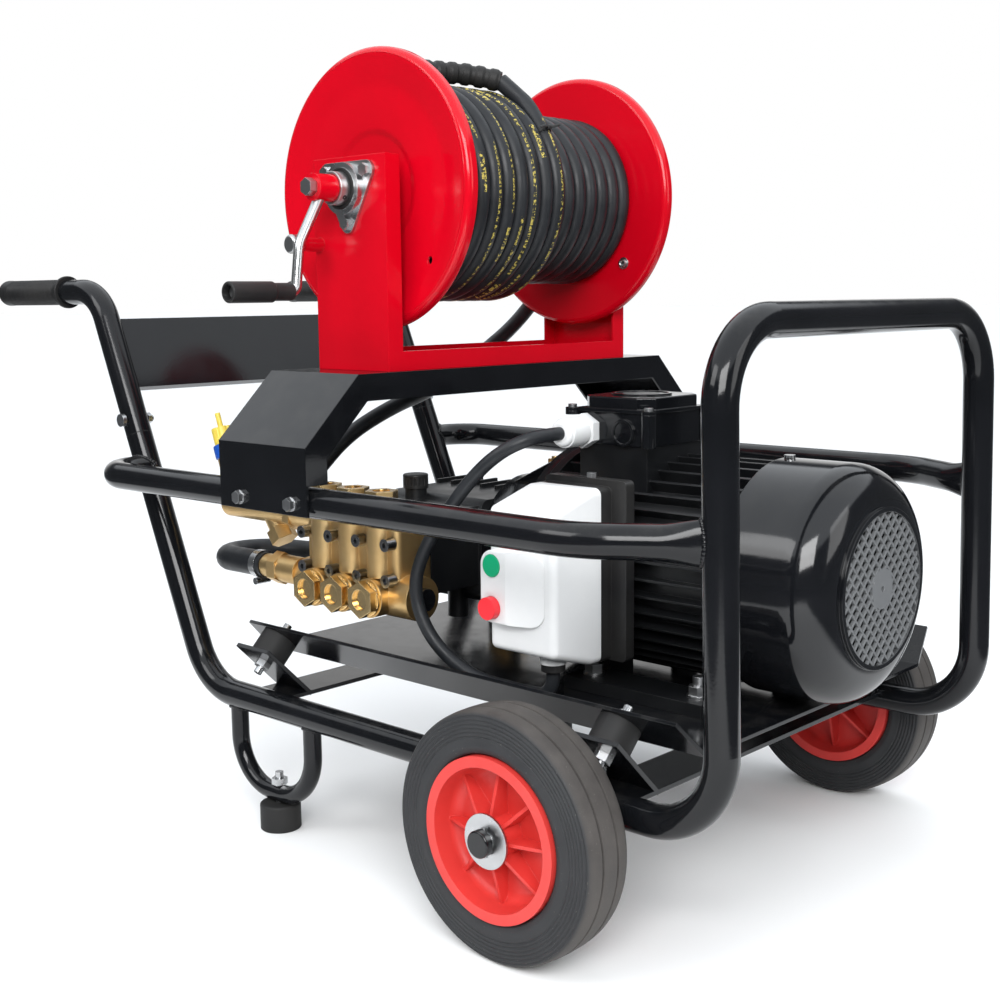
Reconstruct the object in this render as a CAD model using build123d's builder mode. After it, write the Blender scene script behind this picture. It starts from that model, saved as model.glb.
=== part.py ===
from build123d import *
import math
import os
import numpy as np

os.makedirs("parts", exist_ok=True)

# Fits
seam = 0.2  # welded or pushed-together seams
running = 0.05  # radial clearance of turning shafts
sliding = 0.3  # radial clearance of buttons and plungers
slack = 0.4  # radial clearance of bolts in their holes

# Wheels and axle, near side at minus Y
mid_y = 12.5  # middle plane of the frame
wheel_r = 127.0
tyre_width = 61.9
tread_half = 24.0
shoulder_drop = 8.0
rim_r = 82.8
wheel_y = 320.35  # middle of a tyre from the middle plane
rim_width = 66.0
rim_ring = 11.0  # flat face round the rim
rim_web = 8.0
bowl_lean = 3.0  # side of the bowl leans in to the web
bowl_round = 12.0
rib_count = 8
rib_width = 3.5
rib_out = 28.0  # ribs at the hub, from the middle of the wheel
rib_in = 13.0  # ribs at the ring
hub_r = 21.0
hub_length = 64.0
axle_r = 10.0
axle_x = 408.0
axle_half = 364.0
collar_r = 15.0
washer_r = 27.5
washer_t = 2.5
pin_r = 1.6
end_plug_r = 13.7
end_plug_t = 3.0

# Frame of round tube
tube_r = 16.85
tube_wall = 2.6
side_y = 260.0  # lower rails from the middle plane
hoop_x = 615.55
hoop_top_z = 622.0
hoop_lean = 10.25
hoop_bend = 78.0
front_bend = 80.0
rear_x = -169.65
rear_bend = 82.0
lean = 0.431  # run back for each unit of rise
joint_z = 470.0  # where the handle arms sit on the uprights
spigot_length = 45.0
cap_t = 4.0
mid_rail_z = 427.6
mid_rail_y = 329.0
mid_rail_turn_x = 500.0
mid_rail_bend = 50.0
mid_rail_sweep = 120.0

# Handle
arm_top_z = 657.5
arm_bend = 60.0
grip_x = -463.45
grip_r = 18.0
grip_core_r = 13.0
grip_flange_r = 22.0
grip_flange_t = 5.0
panel_z = 575.0
panel_height = 98.0
panel_t = 3.0
panel_fold = 12.0
handle_bolt_z = 490.0

# Bolts of the frame
bolt_r = 4.0
bolt_head = 13.0  # across the flats
bolt_head_h = 5.5

# Foot loops and pads
loop_r = 11.0
loop_wall = 2.0
loop_rear_x = -108.0
loop_front_x = 33.6
loop_bend = 60.0
pad_r = 25.0
pad_h = 32.8
pad_shift = 5.0  # pad forward of the middle of its loop
stud_r = 5.0
stud_nut = 17.0
stud_nut_h = 8.0

# Tray on rubber buffers
tray_rise = 60.55  # tray floor above the rails' axes
tray_t = 4.0
tray_half = 215.0
flare = 37.0  # sideways reach of the flared edges, at 45 degrees
tray_back_x = -97.0
tray_front_x = 566.0
flare_cut = 15.0
buffer_r = 22.5
buffer_length = 30.0
buffer_rear_x = -53.0
buffer_front_x = 479.0
member_t = 5.0
member_width = 60.0
member_rise = 8.5  # strip above the rails' axes
wing_over = 27.0  # wing past the middle of its buffer

# Bridge over the middle rails
bridge_back_x = -5.0
bridge_front_x = 147.0
bridge_t = 3.5
bridge_rise = 135.9  # top above the middle rails' axes
bridge_fold_y = 272.0
bridge_shoulder = 61.4  # lower folds above the middle rails' axes
bridge_drop = 12.6  # side plates below the middle rails' axes
bridge_flange = 30.0
bridge_bolt_back = 36.5  # bolts from the bridge's back and front edges
bridge_bolt_front = 25.5

# Reel stand
stand_shift = -5.0  # middle of the stand from the middle plane
stand_half = 212.0
stand_back_x = 15.5
stand_front_x = 136.5
stand_t = 3.0
stand_height = 239.5
stand_flange = 22.0

# Reel
reel_rise = 203.5  # axis above the bridge
reel_half = 179.4
flange_r = 159.0
flange_t = 3.0
flange_lip = 13.0
flange_bend = 8.0
flange_flare = 2.0
flange_flat_r = 118.0
flange_ring_r = 150.0
flange_dish = 4.0
flange_hub_r = 62.0
flange_hole_x = 92.0
flange_hole_drop = 81.0
flange_hole_r = 5.0
shaft_r = 15.0
shaft_near = 53.0  # shaft past the near post
drum_r = 45.0
drum_wall = 3.0
plate_r = 38.0  # bolt circle of the bearing plates
plate_t = 4.0
bearing_boss_r = 29.0
bearing_r = 23.4
bearing_depth = 12.0

# Hose on the reel
hose_r = 10.0
turn_gap = 1.0  # least gap between neighbouring turns
outer_turn_r = 117.0
upper_turns = 8
hose_side_gap = 0.7
tail_angle = 130.0  # where the free end leaves its turn, from the bottom
restrictor_r = 11.4
restrictor_rib_r = 13.0
restrictor_ribs = 7
tie_t = 0.7
tie_width = 4.5

# Crank
crank_r = 6.0
crank_throw = 114.0
crank_knee = 63.0
crank_knee_out = 37.0
crank_foot_out = 43.5
crank_in = 16.0  # crank rod from the shaft's end
crank_head_r = 8.0
crank_grip_r = 11.5
crank_grip_neck_r = 9.8
crank_grip_length = 85.0
crank_grip_neck = 26.0

# Reel brake
brake_x = 23.5
brake_drop = 60.0
brake_boss_r = 8.0
brake_boss_length = 28.0
brake_pin_r = 4.0
brake_knob_r = 11.0
brake_knob_length = 14.0
brake_travel = 4.0

# Motor
shaft_height = 132.0
motor_shift = 5.0  # motor axis from the middle plane
motor_r = 108.0
fin_r = 122.0
fin_t = 3.0
fin_count = 40
motor_back_x = 249.0
motor_front_x = 523.0
motor_wall = 10.0
motor_flange_r = 125.0
foot_a = 216.0
foot_b = 140.0
foot_x = 338.0
foot_t = 14.0
foot_pad = 44.0
foot_bolt_r = 6.0
rotor_r = 62.0
stator_length = 150.0
motor_shaft_r = 19.0
cowl_r = 126.0
cowl_t = 2.0
cowl_straight = 75.0
cowl_round = 42.0
grille_bar = 2.6
grille_pitch = 11.0
grille_disc_r = 21.0
grille_rim = 4.0
fan_r = 104.0
fan_blades = 9
box_x = 290.0
box_length = 100.0
box_width = 110.0
box_near_y = -62.5
box_z = 482.0
box_h = 36.0
box_neck = 3.0  # neck of the motor in from the sides of the box
lid_h = 17.0
lid_rim_t = 4.0
lid_corner = 15.0
ear_r = 8.0
ear_out = 3.0  # ears from the corners of the box
screw_r = 3.0
gland_x = 306.0
gland_z = 496.5
gland_r = 17.0
gland_length = 48.0
knockout_x = 357.5
knockout_r = 15.0

# Starter
starter_x = 293.0
starter_width = 92.0
starter_z = 275.5  # bottom of the front
starter_height = 152.0  # of the front
starter_front_y = -212.5
starter_depth = 76.0
starter_land = 14.0  # straight edge of the cover along its back
starter_splay = 18.0  # back past the front, above and below
starter_round = 8.0
starter_base_t = 31.0
starter_plate_t = 14.0
starter_plate_over = 20.0  # back plate past the cover, to the front
starter_plate_rise = 7.0
starter_wall = 2.5
starter_panel_t = 14.0
starter_panel_rim = 4.5  # panel round the buttons
starter_panel_flat = 36.0
starter_panel_width = 78.0
button_r = 12.0
button_in = 17.5  # buttons from the left edge
green_up = 92.0
red_up = 47.3
green_out = 1.0
red_out = 9.0
button_flange = 0.8
starter_gland_x = 356.0
starter_gland_r = 13.0
starter_gland_length = 8.0
starter_gland_in = 31.5  # behind the front of the cover

# Pump
pump_x = -22.0
pump_width = 162.0
head_front_y = -202.5
head_depth = 58.0
head_drop = 56.6  # bottom below the axis
head_rise = 58.4  # top above the axis
lobe_r = 17.0
lobe_pitch = 49.4
head_bolt_r = 4.0
head_bolt_head_r = 7.5
head_bolt_head_h = 13.0
bolt_row_up = 20.4
bolt_row_down = -21.6
manifold_r = 26.0
manifold_drop = 43.6
manifold_y = -182.5
manifold_over = 20.0
cap_hex = 38.0
cap_boss_r = 23.0
cap_reach = 31.0  # lower caps in front of the head
cap_thick = 14.0
top_cap_hex = 34.0
top_cap_back = 7.5  # top caps behind the front of the head
top_boss_h = 10.0
manifold_plug_r = 13.0
manifold_plug_h = 8.0
case_back = 82.0  # crankcase behind the axis
case_drop = 72.0
case_rise = 55.0
case_wall = 12.0
rib_t = 4.0
case_ribs = 7
rib_h = 5.0
oil_x = 26.0
oil_y = -62.5
oil_neck_r = 11.0
oil_cap_r = 16.0
oil_cap_h = 18.0
bell_small_r = 80.0
bell_wall = 8.0
bell_flange_t = 12.0
bell_ribs = 8
plug_x = 190.0  # brass plug of the bell
drain_r = 12.6
drain_x = 98.0
drain_length = 20.0

# Pressure regulator on the pump's outlet
outlet_rise = 36.4
regulator_r = 18.0
regulator_length = 140.0
regulator_tilt = 20.0
collar_length = 18.0
knob_r = 13.0
knob_length = 22.0

# Hoses and cable of the pump
feed_r = 10.0
suction_r = 16.5
inlet_nipple = 70.0  # inlet fitting from the manifold to the hose
clamp_width = 11.0
clamp_t = 1.2
clamp_in = 8.0  # clamps from the ends of the hose
worm_r = 4.5
worm_length = 22.0
cable_r = 7.5

near_y = mid_y - side_y
far_y = mid_y + side_y
bore_r = tube_r - tube_wall
axle_z = wheel_r
rail_z = axle_z + axle_r + seam + tube_r
tray_z = rail_z + tray_rise
axis_z = tray_z + shaft_height
axis_y = mid_y + motor_shift
bridge_z = mid_rail_z + bridge_rise
reel_x = (stand_back_x + stand_front_x) / 2
reel_z = bridge_z + reel_rise
stand_y = mid_y + stand_shift
bridge_bolts = (bridge_back_x + bridge_bolt_back, bridge_front_x - bridge_bolt_front)


def upright_x(z):
    return rear_x - lean * (z - rail_z)


def hoop_at(z):
    return hoop_x - hoop_lean * (z - rail_z) / (hoop_top_z - rail_z)


def rod(start, toward, radius, length, mode=Mode.ADD):
    # round bar from a point along a direction
    with Locations(Plane(origin=start, z_dir=toward)):
        Cylinder(radius, length, align=(Align.CENTER, Align.CENTER, Align.MIN), mode=mode)


def hexagon(start, toward, across, length):
    # six-sided head or nut from a point along a direction
    with BuildSketch(Plane(origin=start, z_dir=toward)) as shape:
        RegularPolygon(across / 2, 6, major_radius=False)
    extrude(shape.sketch, amount=length)


def pipe(points, bends, radius, bore):
    # round tube along straight runs joined by tangent arcs
    with BuildLine() as route:
        FilletPolyline(*points, radius=bends)
    with BuildSketch(Plane(origin=route.line @ 0, z_dir=route.line % 0)) as ring:
        Circle(radius)
        if bore > 0:
            Circle(bore, mode=Mode.SUBTRACT)
    sweep(ring.sketch, path=route.wire())
    return route.wire().length


def soft_bends(points):
    # widest arcs that the runs of a hose leave room for
    spots = [Vector(*p) for p in points]
    radii = []
    for a, b, c in zip(spots, spots[1:], spots[2:]):
        turn = (b - a).get_angle(c - b)
        run = min((b - a).length, (c - b).length)
        radii.append(0.45 * run / math.tan(math.radians(turn / 2)))
    return radii


def say_hose(name, points, radius, piece, length):
    print(name, "radii", [round(r) for r in soft_bends(points)], "length", round(length))
    print(name, "volume against section times length", piece.volume / (math.pi * radius**2 * length))


def rise_plane(y):
    # square to an upright at the handle joint
    return Plane(origin=(upright_x(joint_z), y, joint_z), z_dir=(-lean, 0, 1))


# Frame: lower rails, front hoop and rear uprights in one bent tube
with BuildPart() as frame_tube:
    pipe(
        [
            (upright_x(joint_z), near_y, joint_z),
            (rear_x, near_y, rail_z),
            (hoop_x, near_y, rail_z),
            (hoop_at(hoop_top_z), near_y, hoop_top_z),
            (hoop_at(hoop_top_z), far_y, hoop_top_z),
            (hoop_x, far_y, rail_z),
            (rear_x, far_y, rail_z),
            (upright_x(joint_z), far_y, joint_z),
        ],
        [rear_bend, front_bend, hoop_bend, hoop_bend, front_bend, rear_bend],
        tube_r,
        bore_r,
    )
    for y in (near_y, far_y):
        with BuildSketch(rise_plane(y)):
            Circle(tube_r)
        extrude(amount=-cap_t)
        with BuildSketch(rise_plane(y)):
            Circle(bore_r - seam)
        extrude(amount=spigot_length)
        rod((upright_x(handle_bolt_z), y - side_y / 2, handle_bolt_z), (0, 1, 0), bolt_r + slack, side_y,
            Mode.SUBTRACT)
frame_tube.part.label = "frame_tube"
export_step(frame_tube.part, "parts/frame_tube.step")
half_length = frame_tube.part.bounding_box().max.X

# Middle rails, bent in to the uprights at both ends
with BuildPart() as mid_rails:
    for s in (-1, 1):
        pipe(
            [
                (upright_x(mid_rail_z), mid_y + s * side_y, mid_rail_z),
                (upright_x(mid_rail_z), mid_y + s * mid_rail_y, mid_rail_z),
                (mid_rail_turn_x, mid_y + s * mid_rail_y, mid_rail_z),
                (hoop_at(mid_rail_z), mid_y + s * side_y, mid_rail_z),
            ],
            [mid_rail_bend, mid_rail_sweep],
            tube_r,
            bore_r,
        )
        rod((rear_x, mid_y + s * side_y, rail_z), (-lean, 0, 1), tube_r + seam, joint_z, Mode.SUBTRACT)
        hoop_line = (hoop_at(hoop_top_z) - hoop_x, 0, hoop_top_z - rail_z)
        rod((hoop_x, mid_y + s * side_y, rail_z), hoop_line, tube_r + seam, hoop_top_z - rail_z,
            Mode.SUBTRACT)
        for x in bridge_bolts:
            rod((x, mid_y + s * mid_rail_y, mid_rail_z), (0, s, 0), bolt_r + slack, 2 * tube_r,
                Mode.SUBTRACT)
mid_rails.part.label = "mid_rails"
export_step(mid_rails.part, "parts/mid_rails.step")

# Handle arms, pushed onto the uprights
with BuildPart() as arms:
    for y in (near_y, far_y):
        start_z = joint_z + seam
        pipe(
            [(upright_x(start_z), y, start_z), (upright_x(arm_top_z), y, arm_top_z), (grip_x, y, arm_top_z)],
            [arm_bend],
            tube_r,
            bore_r,
        )
        rod((grip_x, y, arm_top_z), (1, 0, 0), tube_r, cap_t)
        rod((grip_x, y, arm_top_z), (-1, 0, 0), grip_core_r, half_length + grip_x - cap_t)
        rod((upright_x(handle_bolt_z), y - side_y / 2, handle_bolt_z), (0, 1, 0), bolt_r + slack, side_y,
            Mode.SUBTRACT)
arms.part.label = "arms"
export_step(arms.part, "parts/arms.step")

# Rubber grips with a flange at the inner end and rings along the hand
with BuildPart() as grips:
    for y in (near_y, far_y):
        length = half_length + grip_x - seam
        half = Plane(origin=(grip_x - seam, y, arm_top_z), x_dir=(-1, 0, 0), z_dir=(0, 1, 0))
        with BuildSketch(half) as g:
            with Locations((length / 2, grip_r / 2)):
                Rectangle(length, grip_r)
            fillet(g.vertices().group_by(Axis.X)[-1].sort_by(Axis.Y)[-1], 5)
            with Locations((grip_flange_t / 2, grip_flange_r / 2)):
                Rectangle(grip_flange_t, grip_flange_r)
            core = half_length + grip_x - cap_t + seam
            with Locations(((core - seam) / 2, 0)):
                Rectangle(core + seam, 2 * (grip_core_r + seam), mode=Mode.SUBTRACT)
            ring_step = 8.0
            with Locations((length / 2, grip_r)):
                with GridLocations(ring_step, 1, 14, 1):
                    Rectangle(2, 1.6, mode=Mode.SUBTRACT)
        revolve(axis=Axis((grip_x, y, arm_top_z), (1, 0, 0)))
grips.part.label = "grips"
export_step(grips.part, "parts/grips.step")

# Panel between the handle arms, folded back along both long edges
panel_plane = Plane(origin=(upright_x(panel_z), mid_y, panel_z), x_dir=(0, 1, 0), z_dir=(1, 0, lean))
with BuildPart() as handle_panel:
    panel_half = side_y - tube_r - seam
    with BuildSketch(panel_plane):
        Rectangle(2 * panel_half, panel_height)
    extrude(amount=panel_t)
    with BuildSketch(panel_plane):
        for v in (-1, 1):
            with Locations((0, v * (panel_height - panel_t) / 2)):
                Rectangle(2 * panel_half, panel_t)
    extrude(amount=-panel_fold)
handle_panel.part.label = "handle_panel"
export_step(handle_panel.part, "parts/handle_panel.step")

# Foot loops under the rear of the lower rails
loop_z = pad_h + seam + loop_r
pad_x = (loop_rear_x + loop_front_x) / 2 + pad_shift
with BuildPart() as foot_loops:
    for y in (near_y, far_y):
        pipe(
            [
                (loop_rear_x, y, rail_z),
                (loop_rear_x, y, loop_z),
                (loop_front_x, y, loop_z),
                (loop_front_x, y, rail_z),
            ],
            [loop_bend, loop_bend],
            loop_r,
            loop_r - loop_wall,
        )
        rod((rear_x, y, rail_z), (1, 0, 0), tube_r + seam, hoop_x - rear_x, Mode.SUBTRACT)
        rod((pad_x, y, 0), (0, 0, 1), stud_r + slack, rail_z, Mode.SUBTRACT)
foot_loops.part.label = "foot_loops"
export_step(foot_loops.part, "parts/foot_loops.step")

# Rubber pads that the machine stands on
pad_bore = pad_h / 2
with BuildPart() as foot_pads:
    for y in (near_y, far_y):
        with Locations((pad_x, y, 0)):
            Cylinder(pad_r, pad_h, align=(Align.CENTER, Align.CENTER, Align.MIN))
    fillet(foot_pads.edges().group_by(Axis.Z)[-1], 3)
    fillet(foot_pads.edges().group_by(Axis.Z)[0], 1.5)
    for y in (near_y, far_y):
        rod((pad_x, y, pad_h - pad_bore), (0, 0, 1), stud_r + seam, pad_h, Mode.SUBTRACT)
foot_pads.part.label = "foot_pads"
export_step(foot_pads.part, "parts/foot_pads.step")

# Tray: flat floor with edges flared up at 45 degrees
mitre = tray_t * math.tan(math.radians(22.5))
slope = math.sqrt(0.5)
tray_points = [
    (-tray_half - flare, tray_z + flare),
    (-tray_half, tray_z),
    (tray_half, tray_z),
    (tray_half + flare, tray_z + flare),
    (tray_half + flare + slope * tray_t, tray_z + flare - slope * tray_t),
    (tray_half + mitre, tray_z - tray_t),
    (-tray_half - mitre, tray_z - tray_t),
    (-tray_half - flare - slope * tray_t, tray_z + flare - slope * tray_t),
]
foot_places = []
for x in (foot_x, foot_x + foot_b):
    for s in (-1, 1):
        foot_places.append((x, axis_y + s * foot_a / 2))
buffer_places = []
for x in (buffer_rear_x, buffer_front_x):
    for s in (-1, 1):
        down = Vector(0, s * slope, -slope)
        seat = Vector(x, mid_y + s * (tray_half + flare / 2), tray_z + flare / 2) + down * tray_t
        buffer_places.append((seat, down))
coupling_x = -60.0
coupling_y = 190.0
coupling_z = 300.0
coupling_r = 13.2
bracket_width = 60.0
with BuildPart() as tray:
    with BuildSketch(Plane.YZ.offset(tray_back_x)):
        with BuildLine():
            Polyline(*[(mid_y + y, z) for y, z in tray_points], close=True)
        make_face()
    extrude(amount=tray_front_x - tray_back_x)
    for end, inward in ((tray_back_x, 1), (tray_front_x, -1)):
        for s in (-1, 1):
            with BuildSketch(Plane.XY.offset(tray_z)):
                with BuildLine():
                    Polyline(
                        (end, mid_y + s * (tray_half + 2 * mitre)),
                        (end + inward * flare_cut, mid_y + s * (tray_half + 2 * flare)),
                        (end - inward * flare_cut, mid_y + s * (tray_half + 2 * flare)),
                        close=True,
                    )
                make_face()
            extrude(amount=flare + tray_t, both=True, mode=Mode.SUBTRACT)
    for x, y in foot_places:
        rod((x, y, tray_z - 2 * tray_t), (0, 0, 1), foot_bolt_r + slack, 3 * tray_t, Mode.SUBTRACT)
    for seat, down in buffer_places:
        rod(seat - down * 2 * tray_t, down, stud_r + slack, 3 * tray_t, Mode.SUBTRACT)
    with BuildSketch(Plane.XZ.offset(-coupling_y)):
        with Locations((coupling_x, tray_z)):
            bracket_height = coupling_z - tray_z + bracket_width / 2
            Rectangle(bracket_width, bracket_height, align=(Align.CENTER, Align.MIN))
        with Locations((coupling_x, coupling_z)):
            Circle(coupling_r + seam, mode=Mode.SUBTRACT)
    extrude(amount=-tray_t)
tray.part.label = "tray"
export_step(tray.part, "parts/tray.step")

# Rubber buffers between the tray and the cross members
with BuildPart() as buffers:
    for seat, down in buffer_places:
        rod(seat, down, buffer_r, buffer_length)
        rod(seat, down, stud_r + seam, buffer_length, Mode.SUBTRACT)
buffers.part.label = "buffers"
export_step(buffers.part, "parts/buffers.step")

# Cross members between the lower rails, with wings under the buffers
member_z = rail_z + member_rise
under = (tray_t + buffer_length) * slope
wing_y = tray_half + flare / 2 + under
wing_z = tray_z + flare / 2 - under
wing_low = (wing_z - member_z) / slope
wing_length = wing_low + wing_over
wing_slide = (wing_over - wing_low) / 2 * slope
with BuildPart() as cross_members:
    for x in (buffer_rear_x, buffer_front_x):
        with BuildSketch(Plane.YZ.offset(x - member_width / 2)):
            with Locations((mid_y, member_z)):
                Rectangle(2 * side_y, member_t)
            for s in (-1, 1):
                y = wing_y + wing_slide + member_t / 2 * slope
                z = wing_z + wing_slide - member_t / 2 * slope
                with Locations((mid_y + s * y, z)):
                    Rectangle(wing_length, member_t, rotation=s * 45)
        extrude(amount=member_width)
    for y in (near_y, far_y):
        rod((rear_x, y, rail_z), (1, 0, 0), tube_r + seam, hoop_x - rear_x, Mode.SUBTRACT)
    for seat, down in buffer_places:
        rod(seat, down, stud_r + slack, buffer_length + 3 * member_t, Mode.SUBTRACT)
cross_members.part.label = "cross_members"
export_step(cross_members.part, "parts/cross_members.step")

# Studs and nuts that hold the buffers and the foot pads
with BuildPart() as stud_nuts:
    for seat, down in buffer_places:
        rod(seat - down * (tray_t + 2 * stud_nut_h), down, stud_r,
            buffer_length + tray_t + member_t + 4 * stud_nut_h)
        hexagon(seat - down * (tray_t + stud_nut_h), down, stud_nut, stud_nut_h)
        hexagon(seat + down * (buffer_length + member_t), down, stud_nut, stud_nut_h)
    for y in (near_y, far_y):
        rod((pad_x, y, pad_h - pad_bore + seam), (0, 0, 1), stud_r, pad_bore + 2 * loop_r + 2 * stud_nut_h)
        hexagon((pad_x, y, loop_z + loop_r + seam), (0, 0, 1), stud_nut, stud_nut_h)
stud_nuts.part.label = "stud_nuts"
export_step(stud_nuts.part, "parts/stud_nuts.step")

# Axle welded under the lower rails
hub_end = wheel_y + hub_length / 2
pin_y = hub_end + sliding + washer_t + pin_r + sliding
with BuildPart() as axle:
    rod((axle_x, mid_y - axle_half, axle_z), (0, 1, 0), axle_r, 2 * axle_half)
    for s in (-1, 1):
        inner = wheel_y - hub_length / 2 - sliding
        rod((axle_x, mid_y + s * inner, axle_z), (0, -s, 0), collar_r, inner - side_y - tube_r)
        rod((axle_x, mid_y + s * pin_y, axle_z - 2 * axle_r), (0, 0, 1), pin_r + seam, 4 * axle_r,
            Mode.SUBTRACT)
    chamfer(axle.edges().filter_by(GeomType.CIRCLE).group_by(Axis.Y)[0], 1)
    chamfer(axle.edges().filter_by(GeomType.CIRCLE).group_by(Axis.Y)[-1], 1)
axle.part.label = "axle"
export_step(axle.part, "parts/axle.step")

# Outer washers and split pins that keep the wheels on
with BuildPart() as axle_retainers:
    for s in (-1, 1):
        rod((axle_x, mid_y + s * (hub_end + sliding), axle_z), (0, s, 0), washer_r, washer_t)
        rod((axle_x, mid_y + s * hub_end, axle_z), (0, s, 0), axle_r + seam, 3 * washer_t, Mode.SUBTRACT)
        rod((axle_x, mid_y + s * pin_y, axle_z - axle_r - 6), (0, 0, 1), pin_r, 2 * axle_r + 10)
axle_retainers.part.label = "axle_retainers"
export_step(axle_retainers.part, "parts/axle_retainers.step")

# Wheels: solid rubber tyre on a ribbed rim
bowl_r = rim_r - rim_ring - bowl_lean
for s, side in ((-1, "near"), (1, "far")):
    centre = (axle_x, mid_y + s * wheel_y, axle_z)
    section = Plane(origin=centre, x_dir=(0, 1, 0), z_dir=(1, 0, 0))
    spin = Axis(centre, (0, 1, 0))
    with BuildPart() as tyre:
        with BuildSketch(section) as t:
            with BuildLine():
                Polyline(
                    (-tyre_width / 2, rim_r + seam),
                    (-tyre_width / 2, wheel_r - shoulder_drop),
                    (-tread_half, wheel_r),
                    (tread_half, wheel_r),
                    (tyre_width / 2, wheel_r - shoulder_drop),
                    (tyre_width / 2, rim_r + seam),
                    close=True,
                )
            make_face()
            fillet(t.vertices().group_by(Axis.Y)[-1], 6)
            fillet([v for v in t.vertices() if abs(v.Y - wheel_r + shoulder_drop) < seam], 6)
            fillet(t.vertices().group_by(Axis.Y)[0], 4)
            for a in (-10.8, 10.8):
                with Locations((a, wheel_r)):
                    Rectangle(2.6, 5, mode=Mode.SUBTRACT)
            for ring in (18.2, 22.2, 26.2, 30.2):
                for e in (-1, 1):
                    with Locations((e * tyre_width / 2, rim_r + ring)):
                        Rectangle(1.6, 1.2, mode=Mode.SUBTRACT)
        revolve(axis=spin)
    tyre.part.label = f"tyre_{side}"
    export_step(tyre.part, f"parts/tyre_{side}.step")
    with BuildPart() as rim:
        with BuildSketch(section) as bowl:
            with BuildLine():
                Polyline(
                    (-hub_length / 2, 0),
                    (-hub_length / 2, hub_r),
                    (-rim_web / 2, hub_r),
                    (-rim_web / 2, bowl_r),
                    (-rim_width / 2, rim_r - rim_ring),
                    (-rim_width / 2, rim_r),
                    (rim_width / 2, rim_r),
                    (rim_width / 2, rim_r - rim_ring),
                    (rim_web / 2, bowl_r),
                    (rim_web / 2, hub_r),
                    (hub_length / 2, hub_r),
                    (hub_length / 2, 0),
                    close=True,
                )
            make_face()
            fillet([v for v in bowl.vertices() if abs(v.Y - bowl_r) < seam], bowl_round)
        revolve(axis=spin)
        for k in range(rib_count):
            a = math.radians(360 / rib_count * k)
            with BuildSketch(Plane(origin=centre, x_dir=(0, 1, 0), z_dir=(math.cos(a), 0, -math.sin(a)))):
                with BuildLine():
                    Polyline(
                        (-rib_out, hub_r - 1),
                        (rib_out, hub_r - 1),
                        (rib_in, bowl_r + 2),
                        (-rib_in, bowl_r + 2),
                        close=True,
                    )
                make_face()
            extrude(amount=rib_width / 2, both=True)
        rod((axle_x, centre[1] - hub_length, axle_z), (0, 1, 0), axle_r + running, 2 * hub_length,
            Mode.SUBTRACT)
    rim.part.label = f"rim_{side}"
    export_step(rim.part, f"parts/rim_{side}.step")

# Bridge: folded plate over the pump, on the outside of the middle rails
bridge_out = mid_rail_y + tube_r + seam + bridge_t
bridge_low = mid_rail_z - bridge_drop
bridge_points = [
    (-bridge_out, bridge_low),
    (-bridge_out, mid_rail_z + bridge_shoulder),
    (-bridge_fold_y, bridge_z),
    (bridge_fold_y, bridge_z),
    (bridge_out, mid_rail_z + bridge_shoulder),
    (bridge_out, bridge_low),
]
bridge_length = bridge_front_x - bridge_back_x
stand_bolt_y = stand_half - 2 * stand_flange
stand_bolts = []
for e in (-1, 1):
    for s in (-1, 1):
        stand_bolts.append((reel_x + e * (stand_front_x - stand_back_x) / 4, stand_y + s * stand_bolt_y))
with BuildPart() as bridge:
    with BuildSketch(Plane.YZ.offset(bridge_back_x)):
        with BuildLine():
            Polyline(*[(mid_y + y, z) for y, z in bridge_points], close=True)
        make_face()
        offset(amount=-bridge_t, kind=Kind.INTERSECTION, mode=Mode.SUBTRACT)
        with Locations((mid_y, bridge_low)):
            Rectangle(2 * (bridge_out - bridge_t), 4 * bridge_t, mode=Mode.SUBTRACT)
    extrude(amount=bridge_length)
    for x in (bridge_back_x, bridge_front_x - bridge_t):
        with BuildSketch(Plane.YZ.offset(x)):
            with BuildLine():
                Polyline(*[(mid_y + y, z) for y, z in bridge_points], close=True)
            make_face()
            offset(amount=-bridge_flange, kind=Kind.INTERSECTION, mode=Mode.SUBTRACT)
            with Locations((mid_y, mid_rail_z + tube_r + bridge_t)):
                Rectangle(3 * bridge_out, bridge_rise, align=(Align.CENTER, Align.MAX), mode=Mode.SUBTRACT)
        extrude(amount=bridge_t)
    for s in (-1, 1):
        for x in bridge_bolts:
            rod((x, mid_y + s * mid_rail_y, mid_rail_z), (0, s, 0), bolt_r + slack, 2 * tube_r,
                Mode.SUBTRACT)
    for x, y in stand_bolts:
        rod((x, y, bridge_z - 2 * bridge_t), (0, 0, 1), bolt_r + slack, 3 * bridge_t, Mode.SUBTRACT)
bridge.part.label = "bridge"
export_step(bridge.part, "parts/bridge.step")

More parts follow.
